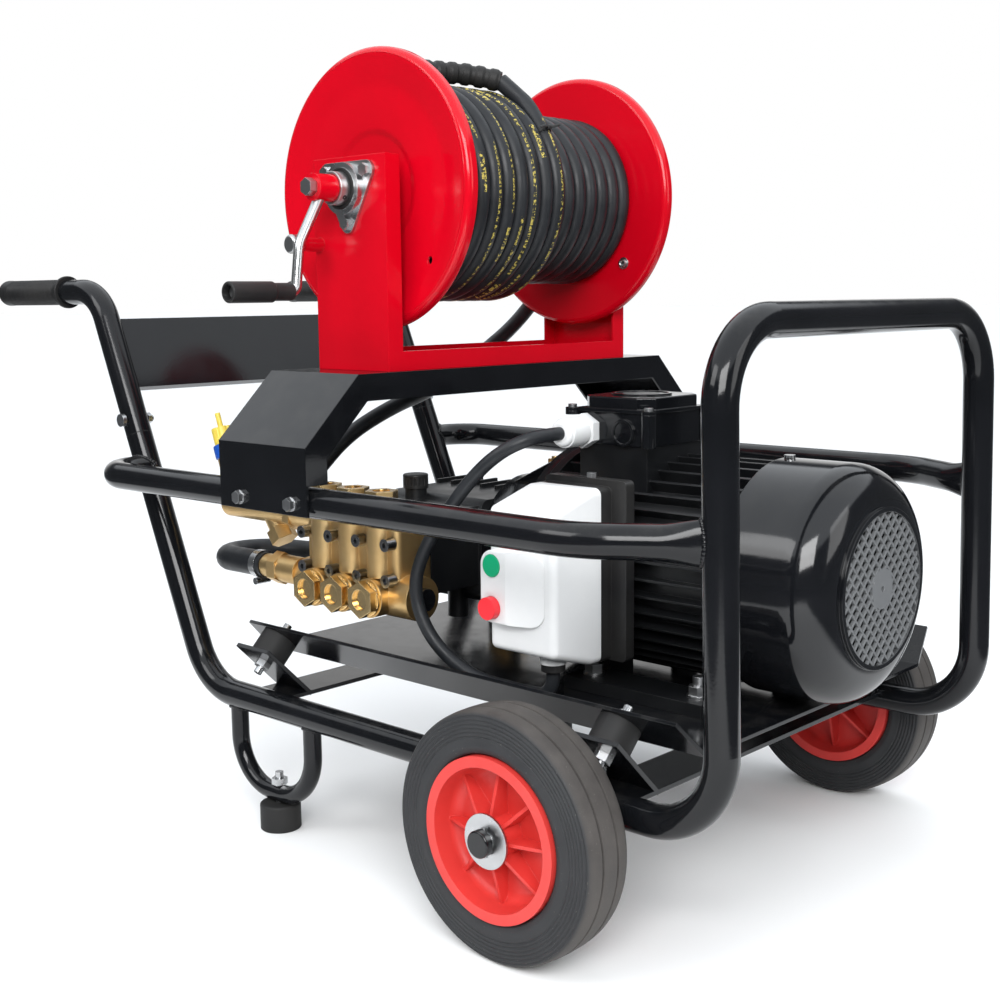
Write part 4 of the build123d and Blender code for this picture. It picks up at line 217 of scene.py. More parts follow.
def makePaintSkin():  # orange peel height, broad tone, fine dust nibs and settled dust on faces that look up
    group, given, out = newGroup("paintSkin", {"Peel Scale": 260.0, "Nib Scale": 420.0, "Dust": 0.3},
                                 {"Height": "NodeSocketFloat", "Tone": "NodeSocketFloat",
                                  "Dust": "NodeSocketFloat"})
    place = addNode(group, "ShaderNodeTexCoord").outputs["Object"]
    peel = noise(group, place, given.outputs["Peel Scale"], 1.0)
    nibField = addNode(group, "ShaderNodeTexVoronoi", dict(feature="F1"), Vector=place,
                       Scale=given.outputs["Nib Scale"])
    fewNibs = ramp(group, addNode(group, "ShaderNodeSeparateColor", None,
                                  Color=nibField.outputs["Color"]).outputs[0], 0.90, 0.93)
    nibs = mathNode(group, "MULTIPLY", ramp(group, nibField.outputs["Distance"], 0.10, 0.26, 1.0, 0.0),
                    fewNibs)
    height = mathNode(group, "ADD", peel, mathNode(group, "MULTIPLY", nibs, 0.9))
    tone = noise(group, place, 9.0, 4.0, 0.6)
    upward = addNode(group, "ShaderNodeSeparateXYZ", None,
                     Vector=addNode(group, "ShaderNodeNewGeometry").outputs["Normal"]).outputs["Z"]
    patch = ramp(group, noise(group, place, 38.0, 5.0, 0.65), 0.42, 0.68)
    settled = mathNode(group, "MULTIPLY", ramp(group, upward, 0.25, 0.95), patch)
    dust = mathNode(group, "MULTIPLY", settled, given.outputs["Dust"])
    for label, value in (("Height", height), ("Tone", tone), ("Dust", dust)):
        group.links.new(value, out.inputs[label])
    return group


def makeEdgeRound():  # rounds sharp edges in the shading and marks them for wear
    group, given, out = newGroup("edgeRound", {"Radius": 0.0008, "Wear": 0.5},
                                 {"Normal": "NodeSocketVector", "Edge": "NodeSocketFloat"})
    bevel = addNode(group, "ShaderNodeBevel", dict(samples=6), Radius=given.outputs["Radius"])
    flat = addNode(group, "ShaderNodeNewGeometry").outputs["Normal"]
    turn = addNode(group, "ShaderNodeVectorMath", dict(operation="DOT_PRODUCT"), i0=bevel.outputs[0],
                   i1=flat).outputs["Value"]
    place = addNode(group, "ShaderNodeTexCoord").outputs["Object"]
    broken = ramp(group, noise(group, place, 55.0, 4.0, 0.7), 0.45, 0.7)
    edge = mathNode(group, "MULTIPLY", ramp(group, turn, 0.86, 0.985, 1.0, 0.0), broken)
    group.links.new(bevel.outputs[0], out.inputs["Normal"])
    group.links.new(mathNode(group, "MULTIPLY", edge, given.outputs["Wear"]), out.inputs["Edge"])
    return group


def makeGrain():  # moulded or cast grain: two sizes of soft bumps and a broad tone
    group, given, out = newGroup("castGrain", {"Fine": 700.0, "Broad": 90.0},
                                 {"Height": "NodeSocketFloat", "Tone": "NodeSocketFloat"})
    place = addNode(group, "ShaderNodeTexCoord").outputs["Object"]
    fine = noise(group, place, given.outputs["Fine"], 3.0, 0.6)
    broad = noise(group, place, given.outputs["Broad"], 3.0, 0.55)
    group.links.new(mathNode(group, "ADD", fine, mathNode(group, "MULTIPLY", broad, 0.6)),
                    out.inputs["Height"])
    group.links.new(noise(group, place, 14.0, 4.0, 0.6), out.inputs["Tone"])
    return group


paintSkin, edgeRound, castGrain = makePaintSkin(), makeEdgeRound(), makeGrain()


def placeGroup(tree, group, **values):
    made = tree.nodes.new("ShaderNodeGroup")
    made.node_tree = group
    for key, value in values.items():
        made.inputs[key.replace("_", " ")].default_value = value
    return made


def paintFinish(name, look):  # sprayed or powder paint over metal
    material, tree, shader = newFinish(name, Specular_IOR_Level=look["specular"], Coat_Weight=look["coat"],
                                       Coat_Roughness=look["coatRough"])
    skin = placeGroup(tree, paintSkin, Peel_Scale=look["peelScale"], Dust=look["dust"])
    edge = placeGroup(tree, edgeRound, Radius=look["edge"], Wear=look["wear"])
    tone = ramp(tree, skin.outputs["Tone"], 0.3, 0.7)
    colour = blendColour(tree, tone, look["colour"], look["second"])
    colour = blendColour(tree, skin.outputs["Dust"], colour, look["dustColour"])
    colour = blendColour(tree, edge.outputs["Edge"], colour, look["wornColour"])
    tree.links.new(colour, shader.inputs["Base Color"])
    rough = ramp(tree, skin.outputs["Tone"], 0.3, 0.75, look["rough"][0], look["rough"][1])
    rough = mathNode(tree, "ADD", rough, mathNode(tree, "MULTIPLY", skin.outputs["Dust"], 0.5))
    tree.links.new(rough, shader.inputs["Roughness"])
    bump = addNode(tree, "ShaderNodeBump", None, Strength=look["peel"], Distance=0.0006,
                   Height=skin.outputs["Height"], Normal=edge.outputs["Normal"])
    tree.links.new(bump.outputs[0], shader.inputs["Normal"])
    return material


def mouldFinish(name, look):  # moulded plastic, rubber or cast metal
    material, tree, shader = newFinish(name, Specular_IOR_Level=look.get("specular", 0.4),
                                       Metallic=look.get("metal", 0.0))
    grain = placeGroup(tree, castGrain, Fine=look["fine"], Broad=look["broad"])
    edge = placeGroup(tree, edgeRound, Radius=look["edge"], Wear=look.get("wear", 0.3))
    tone = ramp(tree, grain.outputs["Tone"], 0.3, 0.7)
    colour = blendColour(tree, tone, look["colour"], look["second"])
    colour = blendColour(tree, edge.outputs["Edge"], colour, look["wornColour"])
    tree.links.new(colour, shader.inputs["Base Color"])
    tree.links.new(ramp(tree, grain.outputs["Tone"], 0.25, 0.75, *look["rough"]), shader.inputs["Roughness"])
    bump = addNode(tree, "ShaderNodeBump", None, Strength=look["bump"], Distance=0.0008,
                   Height=grain.outputs["Height"], Normal=edge.outputs["Normal"])
    tree.links.new(bump.outputs[0], shader.inputs["Normal"])
    return material


frameBlack = dict(colour=(0.0045, 0.005, 0.006), second=(0.0065, 0.007, 0.0085), specular=0.33, coat=0.0,
                  coatRough=0.05, peelScale=330.0, peel=0.05, dust=0.10, dustColour=(0.10, 0.095, 0.085),
                  edge=0.0011, wear=0.25, wornColour=(0.05, 0.05, 0.052), rough=(0.09, 0.17))
shellBlack = dict(frameBlack, specular=0.45, rough=(0.06, 0.12), peel=0.035, dust=0.05)
castBlack = dict(colour=(0.006, 0.0065, 0.0075), second=(0.010, 0.0105, 0.0115), specular=0.36, fine=520.0,
                 broad=80.0, edge=0.0012, wear=0.2, wornColour=(0.05, 0.05, 0.05), rough=(0.28, 0.42),
                 bump=0.10)
reelRed = dict(frameBlack, colour=(0.61, 0.0010, 0.0110), second=(0.57, 0.0010, 0.0100), specular=0.3,
               coat=0.05, coatRough=0.04, peel=0.04, dust=0.04, wear=0.1, wornColour=(0.62, 0.05, 0.05),
               rough=(0.13, 0.2))
rimRed = dict(colour=(0.66, 0.045, 0.038), second=(0.59, 0.038, 0.032), fine=600.0, broad=120.0, edge=0.0010,
              wear=0.3, wornColour=(0.80, 0.16, 0.13), rough=(0.34, 0.46), bump=0.05)
padRubber = dict(colour=(0.012, 0.012, 0.0125), second=(0.020, 0.0195, 0.019), specular=0.3, fine=900.0,
                 broad=140.0, edge=0.0010, wear=0.3, wornColour=(0.05, 0.048, 0.045), rough=(0.5, 0.7),
                 bump=0.12)
gripBlack = dict(padRubber, colour=(0.010, 0.010, 0.0105), rough=(0.42, 0.58))
zincPlate = dict(colour=(0.52, 0.53, 0.54), second=(0.45, 0.455, 0.46), metal=1.0, fine=380.0, broad=70.0,
                 edge=0.0005, wear=0.4, wornColour=(0.82, 0.82, 0.82), rough=(0.2, 0.36), bump=0.06)
darkSteel = dict(zincPlate, colour=(0.26, 0.265, 0.27), second=(0.19, 0.19, 0.195),
                 wornColour=(0.5, 0.5, 0.5))
plainSteel = dict(zincPlate, colour=(0.50, 0.50, 0.505), second=(0.42, 0.42, 0.42), rough=(0.28, 0.42))
castBrass = dict(colour=(0.76, 0.54, 0.26), second=(0.64, 0.43, 0.19), metal=1.0, fine=430.0, broad=60.0,
                 edge=0.0012, wear=0.6, wornColour=(0.83, 0.64, 0.35), rough=(0.34, 0.5), bump=0.22)
turnedBrass = dict(castBrass, colour=(0.80, 0.59, 0.30), second=(0.70, 0.49, 0.225), rough=(0.2, 0.32),
                   bump=0.05)
blackPlastic = dict(padRubber, colour=(0.012, 0.012, 0.013), specular=0.4, rough=(0.34, 0.46), bump=0.06)
whitePlastic = dict(colour=(0.80, 0.81, 0.81), second=(0.77, 0.78, 0.785), specular=0.4, fine=900.0,
                    broad=200.0, edge=0.0012, wear=0.1, wornColour=(0.84, 0.84, 0.84), rough=(0.3, 0.4),
                    bump=0.03)
greenPlastic = dict(whitePlastic, colour=(0.0, 0.40, 0.175), second=(0.0, 0.37, 0.16),
                    wornColour=(0.05, 0.45, 0.26))
redPlastic = dict(whitePlastic, colour=(0.90, 0.028, 0.042), second=(0.85, 0.025, 0.036),
                  wornColour=(0.9, 0.1, 0.1))
bluePlastic = dict(whitePlastic, colour=(0.012, 0.085, 0.44), second=(0.010, 0.07, 0.38),
                   wornColour=(0.1, 0.2, 0.6))
yellowPlastic = dict(whitePlastic, colour=(0.80, 0.62, 0.10), second=(0.74, 0.56, 0.08),
                     wornColour=(0.9, 0.8, 0.4))

finishes = {
    "black_paint": paintFinish("frameBlack", frameBlack),
    "black_casting": mouldFinish("castBlack", castBlack),
    "red_paint": paintFinish("reelRed", reelRed),
    "red_rim": mouldFinish("rimRed", rimRed),
    "tyre": mouldFinish("plainTyre", padRubber),
    "rubber": mouldFinish("padRubber", padRubber),
    "zinc": mouldFinish("zincPlate", zincPlate),
    "steel": mouldFinish("plainSteel", plainSteel),
    "brass": mouldFinish("castBrass", castBrass),
    "black_plastic": mouldFinish("blackPlastic", blackPlastic),
    "white_plastic": mouldFinish("whitePlastic", whitePlastic),
    "green_plastic": mouldFinish("greenPlastic", greenPlastic),
    "red_plastic": mouldFinish("redPlastic", redPlastic),
    "blue_plastic": mouldFinish("bluePlastic", bluePlastic),
    "yellow_plastic": mouldFinish("yellowPlastic", yellowPlastic),
}
shell = paintFinish("shellBlack", shellBlack)
# painted reflection: the grille bars inside this ring are coloured light grey for the sheen they show
latticeSheen = dict(startX=0.6235, y=0.0175, z=0.3466, r=0.0792, fade=0.0005, colour=(0.15, 0.155, 0.16))


def makeCowlFinish(look, bars):  # the cowl's paint, with a painted grey sheen on the grille bars that stands for their reflection
    material = paintFinish("cowlBlack", look)
    tree = material.node_tree
    shader = tree.nodes["Principled BSDF"]
    spot = addNode(tree, "ShaderNodeSeparateXYZ", None,
                   Vector=addNode(tree, "ShaderNodeTexCoord").outputs["Object"])
    radius = farFrom(tree, spot.outputs["Y"], bars["y"], spot.outputs["Z"], bars["z"])
    inside = ramp(tree, radius, bars["r"] - bars["fade"], bars["r"], 1.0, 0.0)
    # painted sheen: grey on the grille bars inside the ring, from startX on
    paintedSheen = mathNode(tree, "MULTIPLY", inside,
                      ramp(tree, spot.outputs["X"], bars["startX"], bars["startX"] + bars["fade"]))
    painted = shader.inputs["Base Color"].links[0].from_socket
    tree.links.new(blendColour(tree, paintedSheen, painted, bars["colour"]), shader.inputs["Base Color"])
    return material


cowlFinish = makeCowlFinish(shellBlack, latticeSheen)
turned = mouldFinish("turnedBrass", turnedBrass)
gripFinish = mouldFinish("gripBlack", gripBlack)
boltFinish = mouldFinish("darkSteel", darkSteel)
ownFinish = {"fan_cowl": cowlFinish, "valve_caps": turned, "crank_grip": gripFinish, "end_plugs": shell,
             "head_bolts": boltFinish}

for nodeName, node in nodes.items():
    for matSlot in node.material_slots:
        slotName = matSlot.material.name.split(".")[0]
        matSlot.material = ownFinish.get(nodeName, finishes.get(slotName, finishes["black_paint"]))
print("finishes placed")


# Surfaces: grids of points, carried round an axis or along a path
sharpTurn = math.radians(38)  # edges that turn by more stay sharp


def roundedLine(corners, radii, steps=10):  # straight runs with a round arc at each corner
    corners = np.array(corners, float)
    out = [corners[:1]]
    for a, b, c, r in zip(corners, corners[1:], corners[2:], radii):
        u = (a - b) / np.linalg.norm(a - b)
        v = (c - b) / np.linalg.norm(c - b)
        half = np.arccos(np.clip(u @ v, -1, 1)) / 2
        middle = b + (u + v) / np.linalg.norm(u + v) * r / np.sin(half)
        first = (b + u * r / np.tan(half) - middle) / r
        turn = np.linspace(0, np.pi - 2 * half, steps)[:, None]
        out.append(middle + r * (np.cos(turn) * first - np.sin(turn) * u))
    out.append(corners[-1:])
    return np.concatenate(out)


def spread(line, count):  # the same line with evenly spaced points
    run = np.r_[0, np.cumsum(np.linalg.norm(np.diff(line, axis=0), axis=1))]
    at = np.linspace(0, run[-1], count)
    return np.stack([np.interp(at, run, line[:, k]) for k in range(line.shape[1])], axis=1)


def gridPiece(name, points, material, wrapU=False, wrapV=True, caps=False, uv=None):
    nu, nv = points.shape[:2]
    i, j = np.meshgrid(np.arange(nu if wrapU else nu - 1), np.arange(nv if wrapV else nv - 1), indexing="ij")
    i, j = i.ravel(), j.ravel()
    i2, j2 = (i + 1) % nu, (j + 1) % nv
    quads = np.stack([i * nv + j, i2 * nv + j, i2 * nv + j2, i * nv + j2], axis=1)
    flat = points.reshape(-1, 3)
    p = flat[quads] - flat.mean(axis=0)
    volume = np.einsum("ij,ij->i", p[:, 0], np.cross(p[:, 1], p[:, 2]) + np.cross(p[:, 2], p[:, 3])).sum()
    order = [0, 1, 2, 3] if volume > 0 else [3, 2, 1, 0]
    faces = quads[:, order].tolist()
    if caps:
        first, last = np.arange(nv), (nu - 1) * nv + np.arange(nv)
        ends = [first, last[::-1]] if volume > 0 else [first[::-1], last]
        faces += [e.tolist() for e in ends]
    mesh = bpy.data.meshes.new(name)
    mesh.from_pydata(flat.tolist(), [], faces)
    if uv is not None:  # length along and turn round, with one column more than the grid
        corner = np.stack([uv[i, j], uv[i + 1, j], uv[i + 1, j + 1], uv[i, j + 1]], axis=1)[:, order]
        layer = mesh.uv_layers.new(name="along")
        full = np.zeros((len(mesh.loops), 2))
        full[:corner.size // 2] = corner.reshape(-1, 2)
        layer.data.foreach_set("uv", full.ravel())
    mesh.polygons.foreach_set("use_smooth", np.ones(len(mesh.polygons), bool))
    mesh.set_sharp_from_angle(angle=sharpTurn)
    mesh.materials.append(material)
    mesh.update()
    piece = bpy.data.objects.new(name, mesh)
    scene.collection.objects.link(piece)
    return piece


def lathePiece(name, profile, centre, axis, material, steps=96, closed=True):
    # each profile point, distance along the axis and radius, goes round the axis in a circle
    axis = np.array(axis, float)
    e1 = np.cross(axis, (0, 0, 1) if abs(axis[2]) < 0.9 else (1, 0, 0))
    e1 /= np.linalg.norm(e1)
    e2 = np.cross(axis, e1)
    turn = np.linspace(0, 2 * np.pi, steps, endpoint=False)
    ring = np.cos(turn)[:, None] * e1 + np.sin(turn)[:, None] * e2
    points = np.array(centre) + profile[:, :1, None] * axis + profile[:, 1:, None] * ring[None]
    return gridPiece(name, points, material, wrapU=closed, caps=not closed)


def sweepPiece(name, path, lean, across, up, material, sides=24, wrapped=False, withUv=False):
    # an ellipse of the two half sizes, square to the path, with its first axis nearest to the lean direction
    way = np.gradient(path, axis=0)
    if wrapped:
        way = np.roll(path, -1, axis=0) - np.roll(path, 1, axis=0)
    way /= np.linalg.norm(way, axis=1)[:, None]
    lean = np.broadcast_to(np.array(lean, float), path.shape)
    side = lean - way * np.einsum("ij,ij->i", lean, way)[:, None]
    side /= np.linalg.norm(side, axis=1)[:, None]
    other = np.cross(way, side)
    turn = np.linspace(0, 2 * np.pi, sides, endpoint=False)
    across = np.broadcast_to(across, len(path))[:, None, None]
    up = np.broadcast_to(up, len(path))[:, None, None]
    points = (path[:, None] + across * np.cos(turn)[None, :, None] * side[:, None]
              + up * np.sin(turn)[None, :, None] * other[:, None])
    uv = None
    if withUv:
        run = np.r_[0, np.cumsum(np.linalg.norm(np.diff(path, axis=0), axis=1))]
        round01 = np.linspace(0, 1, sides + 1)
        uv = np.stack(np.broadcast_arrays(run[:, None], round01[None]), axis=2)
    return gridPiece(name, points, material, wrapU=wrapped, caps=not wrapped, uv=uv)


def fix(piece, body, slot, *replaced):
    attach(piece, body)
    if replaced:
        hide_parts(*replaced)
    return piece


# Cords: NURBS splines through given control points
def cordSpline(name, points):
    data = bpy.data.curves.new(name, "CURVE")
    data.dimensions = "3D"
    line = data.splines.new("NURBS")
    line.points.add(len(points) - 1)
    line.points.foreach_set("co", np.c_[np.array(points, float), np.ones(len(points))].ravel())
    line.order_u = 3
    line.use_endpoint_u = True
    return data


def splinePoints(name, points, resolution):  # points read off the smooth line
    data = cordSpline(name, points)
    data.resolution_u = resolution
    holder = bpy.data.objects.new(name, data)
    scene.collection.objects.link(holder)
    bpy.context.view_layer.update()
    mesh = bpy.data.meshes.new_from_object(holder.evaluated_get(bpy.context.evaluated_depsgraph_get()))
    path = np.zeros(len(mesh.vertices) * 3)
    mesh.vertices.foreach_get("co", path)
    bpy.data.objects.remove(holder)
    bpy.data.meshes.remove(mesh)
    return path.reshape(-1, 3)


def makeHoseRubber(name, printing):  # smooth black cover, with a broken yellow line where printing is on
    material, tree, shader = newFinish(name, Specular_IOR_Level=0.32)
    place = addNode(tree, "ShaderNodeTexCoord").outputs["Object"]
    tone = ramp(tree, noise(tree, place, 26.0, 4.0, 0.6), 0.3, 0.72)
    colour = blendColour(tree, tone, (0.012, 0.0135, 0.016), (0.020, 0.022, 0.025))
    if printing:
        where = addNode(tree, "ShaderNodeSeparateXYZ", None,
                        Vector=addNode(tree, "ShaderNodeUVMap", dict(uv_map="along")).outputs[0])
        along, round01 = where.outputs["X"], where.outputs["Y"]
        wander = mathNode(tree, "MULTIPLY", mathNode(tree, "SINE", mathNode(tree, "MULTIPLY", along, 1.7)),
                          0.05)
        off = mathNode(tree, "ABSOLUTE",
                       mathNode(tree, "SUBTRACT", round01, mathNode(tree, "ADD", wander, 0.72)))
        stretch = mathNode(tree, "FRACT", mathNode(tree, "MULTIPLY", along, 2.15))  # one mark for each 0.46 m
        bold = ramp(tree, stretch, 0.085, 0.09, 1.0, 0.0)
        plain = mathNode(tree, "MULTIPLY", ramp(tree, stretch, 0.12, 0.125),
                         ramp(tree, stretch, 0.70, 0.705, 1.0, 0.0))
        boldLine = mathNode(tree, "MULTIPLY", bold, ramp(tree, off, 0.042, 0.050, 1.0, 0.0))
        plainLine = mathNode(tree, "MULTIPLY", plain, ramp(tree, off, 0.024, 0.031, 1.0, 0.0))
        run = addNode(tree, "ShaderNodeCombineXYZ", None, X=along,
                      Y=mathNode(tree, "MULTIPLY", round01, 0.035))
        stroke = ramp(tree, noise(tree, run.outputs[0], 330.0, 1.0), 0.46, 0.56)
        fleck = ramp(tree, noise(tree, place, 620.0, 1.0), 0.36, 0.52)
        upper = ramp(tree, along, 9.15, 9.25)  # the print shows on the upper layer
        broken = mathNode(tree, "MULTIPLY", mathNode(tree, "MULTIPLY", stroke, fleck), upper)
        mark = mathNode(tree, "MULTIPLY",
                        mathNode(tree, "MAXIMUM", boldLine, mathNode(tree, "MULTIPLY", plainLine, 0.8)),
                        broken)
        colour = blendColour(tree, mark, colour, (0.62, 0.50, 0.10))
    tree.links.new(colour, shader.inputs["Base Color"])
    tree.links.new(ramp(tree, noise(tree, place, 60.0, 3.0), 0.3, 0.7, 0.36, 0.5), shader.inputs["Roughness"])
    bump = addNode(tree, "ShaderNodeBump", None, Strength=0.10, Distance=0.0005,
                   Height=noise(tree, place, 900.0, 3.0))
    tree.links.new(bump.outputs[0], shader.inputs["Normal"])
    return material


hosePlain = makeHoseRubber("hoseRubber", False)
hosePrinted = makeHoseRubber("hosePrinted", True)

feedRoute = dict(radius=10.0, points=[
    (-73.863, -161.361, 408.912), (-68.809, -143.953, 430.251), (-52, -106, 474), (-37, -44, 505.5),
    (-34.5, 18, 522), (-34.5, 80, 545), (-34.5, 135, 574), (-34, 184, 601), (-28, 224, 637),
    (9.350, 248.5, 695.155), (32.473, 250.5, 720.081), (52.876, 250.5, 742.074)])
suctionRoute = dict(radius=16.5, points=[
    (-112, -192.5, 311), (-164, -192.5, 311), (-206, -189, 309), (-230, -158, 307), (-228, -122, 306),
    (-196, -97, 306), (-142, -82, 305), (-92, -48, 303), (-65, 5, 301), (-62, 70, 301), (-60, 114, 300),
    (-60, 150, 300)])
cableRoute = dict(radius=7.5, points=[
    (306, -110.5, 496.5), (306, -135, 496.5), (300, -161, 493), (280, -176, 481), (256, -186, 460),
    (228, -196, 426), (188, -204, 372), (170, -208, 319), (196, -206, 265), (246, -194, 230),
    (300, -183.5, 224), (338.4, -181.2, 223.59), (349.6, -181, 229.99), (356, -181, 241.19),
    (356, -181, 253.89)])


def makeCord(name, route, node, slot, material):
    points = np.array(route["points"], float) * mm
    data = cordSpline(name, points)
    data.bevel_depth = route["radius"] * mm
    data.bevel_resolution = 7
    data.resolution_u = 12
    data.use_fill_caps = True
    data.materials.append(material)
    piece = bpy.data.objects.new(name, data)
    scene.collection.objects.link(piece)
    fix(piece, "frame", slot, node)
    path = splinePoints(name + "Line", points, 12)
    return piece


makeCord("feedHose", feedRoute, "feed_hose", "rubber", hosePlain)
makeCord("suctionHose", suctionRoute, "suction_hose", "rubber", hosePlain)
makeCord("starterCable", cableRoute, "cable", "black_plastic", hosePlain)
print("cords laid")


# Hose on the reel: a lower layer from far to near, an upper one back, stepping in each second half turn
reel = dict(x=76.0, z=767.0, y=7.3, half=179.4, hoseR=10.0, innerR=96.0, outerR=117.0, pitch=21.56,
            farY=169.0, nearY=-154.4, lowerLoops=15, upperLoops=8, leaveAt=130.0, perTurn=24, inlet=(56, 671),
            tail=[(152, 17.0, 868), (138, 14.08, 880.5), (117.3, 4.08, 901)], wander=0.25,
            coreGap=7.4, coreR=75.0, coreBump=10.0, drumR=45.4)


def windHose(w):
    step = 360.0 / w["perTurn"]
    last = 360.0 * (w["lowerLoops"] + w["upperLoops"]) + w["leaveAt"]
    angle = np.arange(0, last + 0.1, step)
    loop, part = np.divmod(angle, 360.0)
    ease = np.clip((part - 180) / 180, 0, 1)
    stepped = loop + ease * ease * (3 - 2 * ease)
    lower = angle <= 360.0 * w["lowerLoops"]
    y = np.where(lower, w["farY"] - w["pitch"] * stepped,
                 w["nearY"] + w["pitch"] * (stepped - w["lowerLoops"]))
    climb = np.clip((angle - 360.0 * w["lowerLoops"]) / 180, 0, 1)
    radius = w["innerR"] + (w["outerR"] - w["innerR"]) * climb * climb * (3 - 2 * climb)
    radius = radius / np.cos(np.radians(step / 2))  # control points lie outside the round line
    y = y + w["wander"] * np.sin(angle * 0.0131) * np.sin(angle * 0.0047)  # no turn lies quite straight
    a = np.radians(angle)
    turns = np.stack([w["x"] + radius * np.sin(a), y, w["z"] - radius * np.cos(a)], axis=1)
    first = [(w["inlet"][0], w["farY"], w["inlet"][1])]
    return np.concatenate([first, turns, w["tail"]]) * mm


hoseLine = splinePoints("woundLine", windHose(reel), 4)
wound = sweepPiece("woundHose", hoseLine, (0, 1, 0), reel["hoseR"] * mm, reel["hoseR"] * mm, hosePrinted,
                   sides=16, withUv=True)
fix(wound, "reel", "rubber", "hose_wound")
restrictor = dict(points=[(117.3, 4.08, 901), (90.3, -17.92, 909.5), (72.3, -52.92, 911),
                          (62.3, -97.92, 910.5)],
                  bodyR=11.2, ribR=13.0, ribs=7)


def makeRestrictor(s):  # fat rounded ribs along a sleeve: radius = body + rib height times a flattened cosine
    path = spread(splinePoints("restrictorLine", np.array(s["points"]) * mm, 24), 180)
    at = np.linspace(0, 1, len(path))
    wave = np.clip(0.62 + np.cos(2 * np.pi * (at * s["ribs"] - 0.5)), 0, 1)
    radius = (s["bodyR"] + (s["ribR"] - s["bodyR"]) * wave ** 0.6) * mm
    return sweepPiece("bendRestrictor", path, (0, 0, 1), radius, radius, gripFinish, sides=28)


sleeve = fix(makeRestrictor(restrictor), "reel", "rubber", "bend_restrictor")


# Inner layers under the turns: radius = core + bump times a half circle for each turn
def makeHoseCore(w):
    half = w["half"] - w["coreGap"]
    y = np.linspace(-half, half, 340)
    bump = np.sqrt(np.clip(1 - ((y + half) % w["pitch"] / w["pitch"] * 2 - 1) ** 2, 0, 1))
    outer = np.stack([y, w["coreR"] + w["coreBump"] * bump], axis=1)
    profile = np.concatenate([[(-half, w["drumR"])], outer, [(half, w["drumR"])]]) * mm
    return lathePiece("innerLayers", profile, np.array([w["x"], w["y"], w["z"]]) * mm, (0, 1, 0), hosePlain,
                      96)


fix(makeHoseCore(reel), "reel", "rubber", "hose_core")


# Pressed reel flanges: sheet of one thickness, stepped round the hub, both lips bent to the far side
flange = dict(r=159.0, lip=13.0, bend=6.5, flare=2.0, flatR=118.0, ringR=150.0, thick=3.0, dish=4.0,
              hubR=62.0, boreR=15.2, hole=(168.0, 686.0), holeR=4.4)


def sheetLoop(line, thick, ends=5):  # closed outline of a sheet whose middle line is given
    way = np.gradient(line, axis=0)
    way /= np.linalg.norm(way, axis=1)[:, None]
    normal = np.stack([-way[:, 1], way[:, 0]], axis=1) * thick / 2
    turn = np.linspace(0, np.pi, ends + 2)[1:-1, None]
    tip = line[-1] + np.cos(turn) * normal[-1] + np.sin(turn) * way[-1] * thick / 2
    root = line[0] - np.cos(turn) * normal[0] - np.sin(turn) * way[0] * thick / 2
    return np.concatenate([line + normal, tip, (line - normal)[::-1], root])


def cutHole(piece, start, axis, radius, deep):  # a round hole right through a sheet
    line = np.array([(0, 0.01), (0, radius), (deep, radius), (deep, 0.01)]) * mm
    cutter = lathePiece("holeCutter", line, np.array(start) * mm, axis, piece.data.materials[0], 32,
                        closed=False)
    cut = piece.modifiers.new("hole", "BOOLEAN")
    cut.object, cut.operation, cut.solver = cutter, "DIFFERENCE", "EXACT"
    bpy.context.view_layer.update()
    mesh = bpy.data.meshes.new_from_object(piece.evaluated_get(bpy.context.evaluated_depsgraph_get()))
    piece.modifiers.clear()
    piece.data = mesh
    mesh.set_sharp_from_angle(angle=sharpTurn)
    bpy.data.objects.remove(cutter)


def makeFlange(f, s, side):
    h = f["thick"] / 2
    rims = dict(near=[(f["dish"] + h, f["flatR"]), (h - f["flare"], f["ringR"]), (h - f["flare"], f["r"] - h),
                      (f["lip"] - h, f["r"] - h)],
                far=[(f["dish"] + h, f["r"] - h), (f["dish"] + f["thick"] + h - f["lip"], f["r"] - h)])
    bends = dict(near=[14, 14, 60, 30, f["bend"]], far=[14, 14, f["bend"]])
    line = [(f["dish"] + 2 + h, f["boreR"]), (f["dish"] + 2 + h, f["hubR"]),
            (f["dish"] + h, f["hubR"] + 7)] + rims[side]
    line = spread(roundedLine(line, bends[side], 16), 220)
    loop = sheetLoop(line, f["thick"]) * mm
    centre = np.array([reel["x"], reel["y"] + s * reel["half"], reel["z"]]) * mm
    piece = lathePiece("flange" + side.title(), loop, centre, (0, -s, 0), finishes["red_paint"], 160)
    x, z = f["hole"]
    cutHole(piece, (x, reel["y"] + s * (reel["half"] + 2), z), (0, -s, 0), f["holeR"], 20)
    return fix(piece, "reel", "red_paint", "flange_" + side)


for s, side in ((-1, "near"), (1, "far")):
    makeFlange(flange, s, side)


def roundHead(name, line, radii, start, axis, material, steps=48):  # turned from places and radii
    profile = roundedLine(line, radii, 6) * mm
    return lathePiece(name, profile, np.array(start) * mm, axis, material, steps, closed=False)


# Screw and nut in the hole of the far flange
def makeFlangeScrew(f):
    x, z = f["hole"]
    inner = reel["y"] + reel["half"] - f["dish"] - f["thick"]
    head = [(-1, 0.01), (-1, 4.4), (0, 4.4), (0, 7.5), (1.3, 7.5), (1.3, 5.6), (4.6, 5.4), (5.2, 2.6),
            (3.0, 2.4), (3.0, 0.01)]
    screw = roundHead("flangeScrew", head, [0.1, 0.1, 0.1, 0.4, 0.2, 0.3, 1.8, 0.3, 0.2], (x, inner, z),
                      (0, -1, 0), finishes["zinc"])
    nut = [(0, 0.01), (0, 7.0), (5.0, 7.0), (5.0, 4.0), (7.5, 3.8), (7.5, 0.01)]
    nut = roundHead("flangeNut", nut, [0.3, 0.6, 0.3, 0.3, 0.6], (x, inner + f["thick"], z), (0, 1, 0),
                    finishes["zinc"], 6)
    for piece in (screw, nut):
        fix(piece, "reel", "zinc")


makeFlangeScrew(flange)
print("flanges pressed")


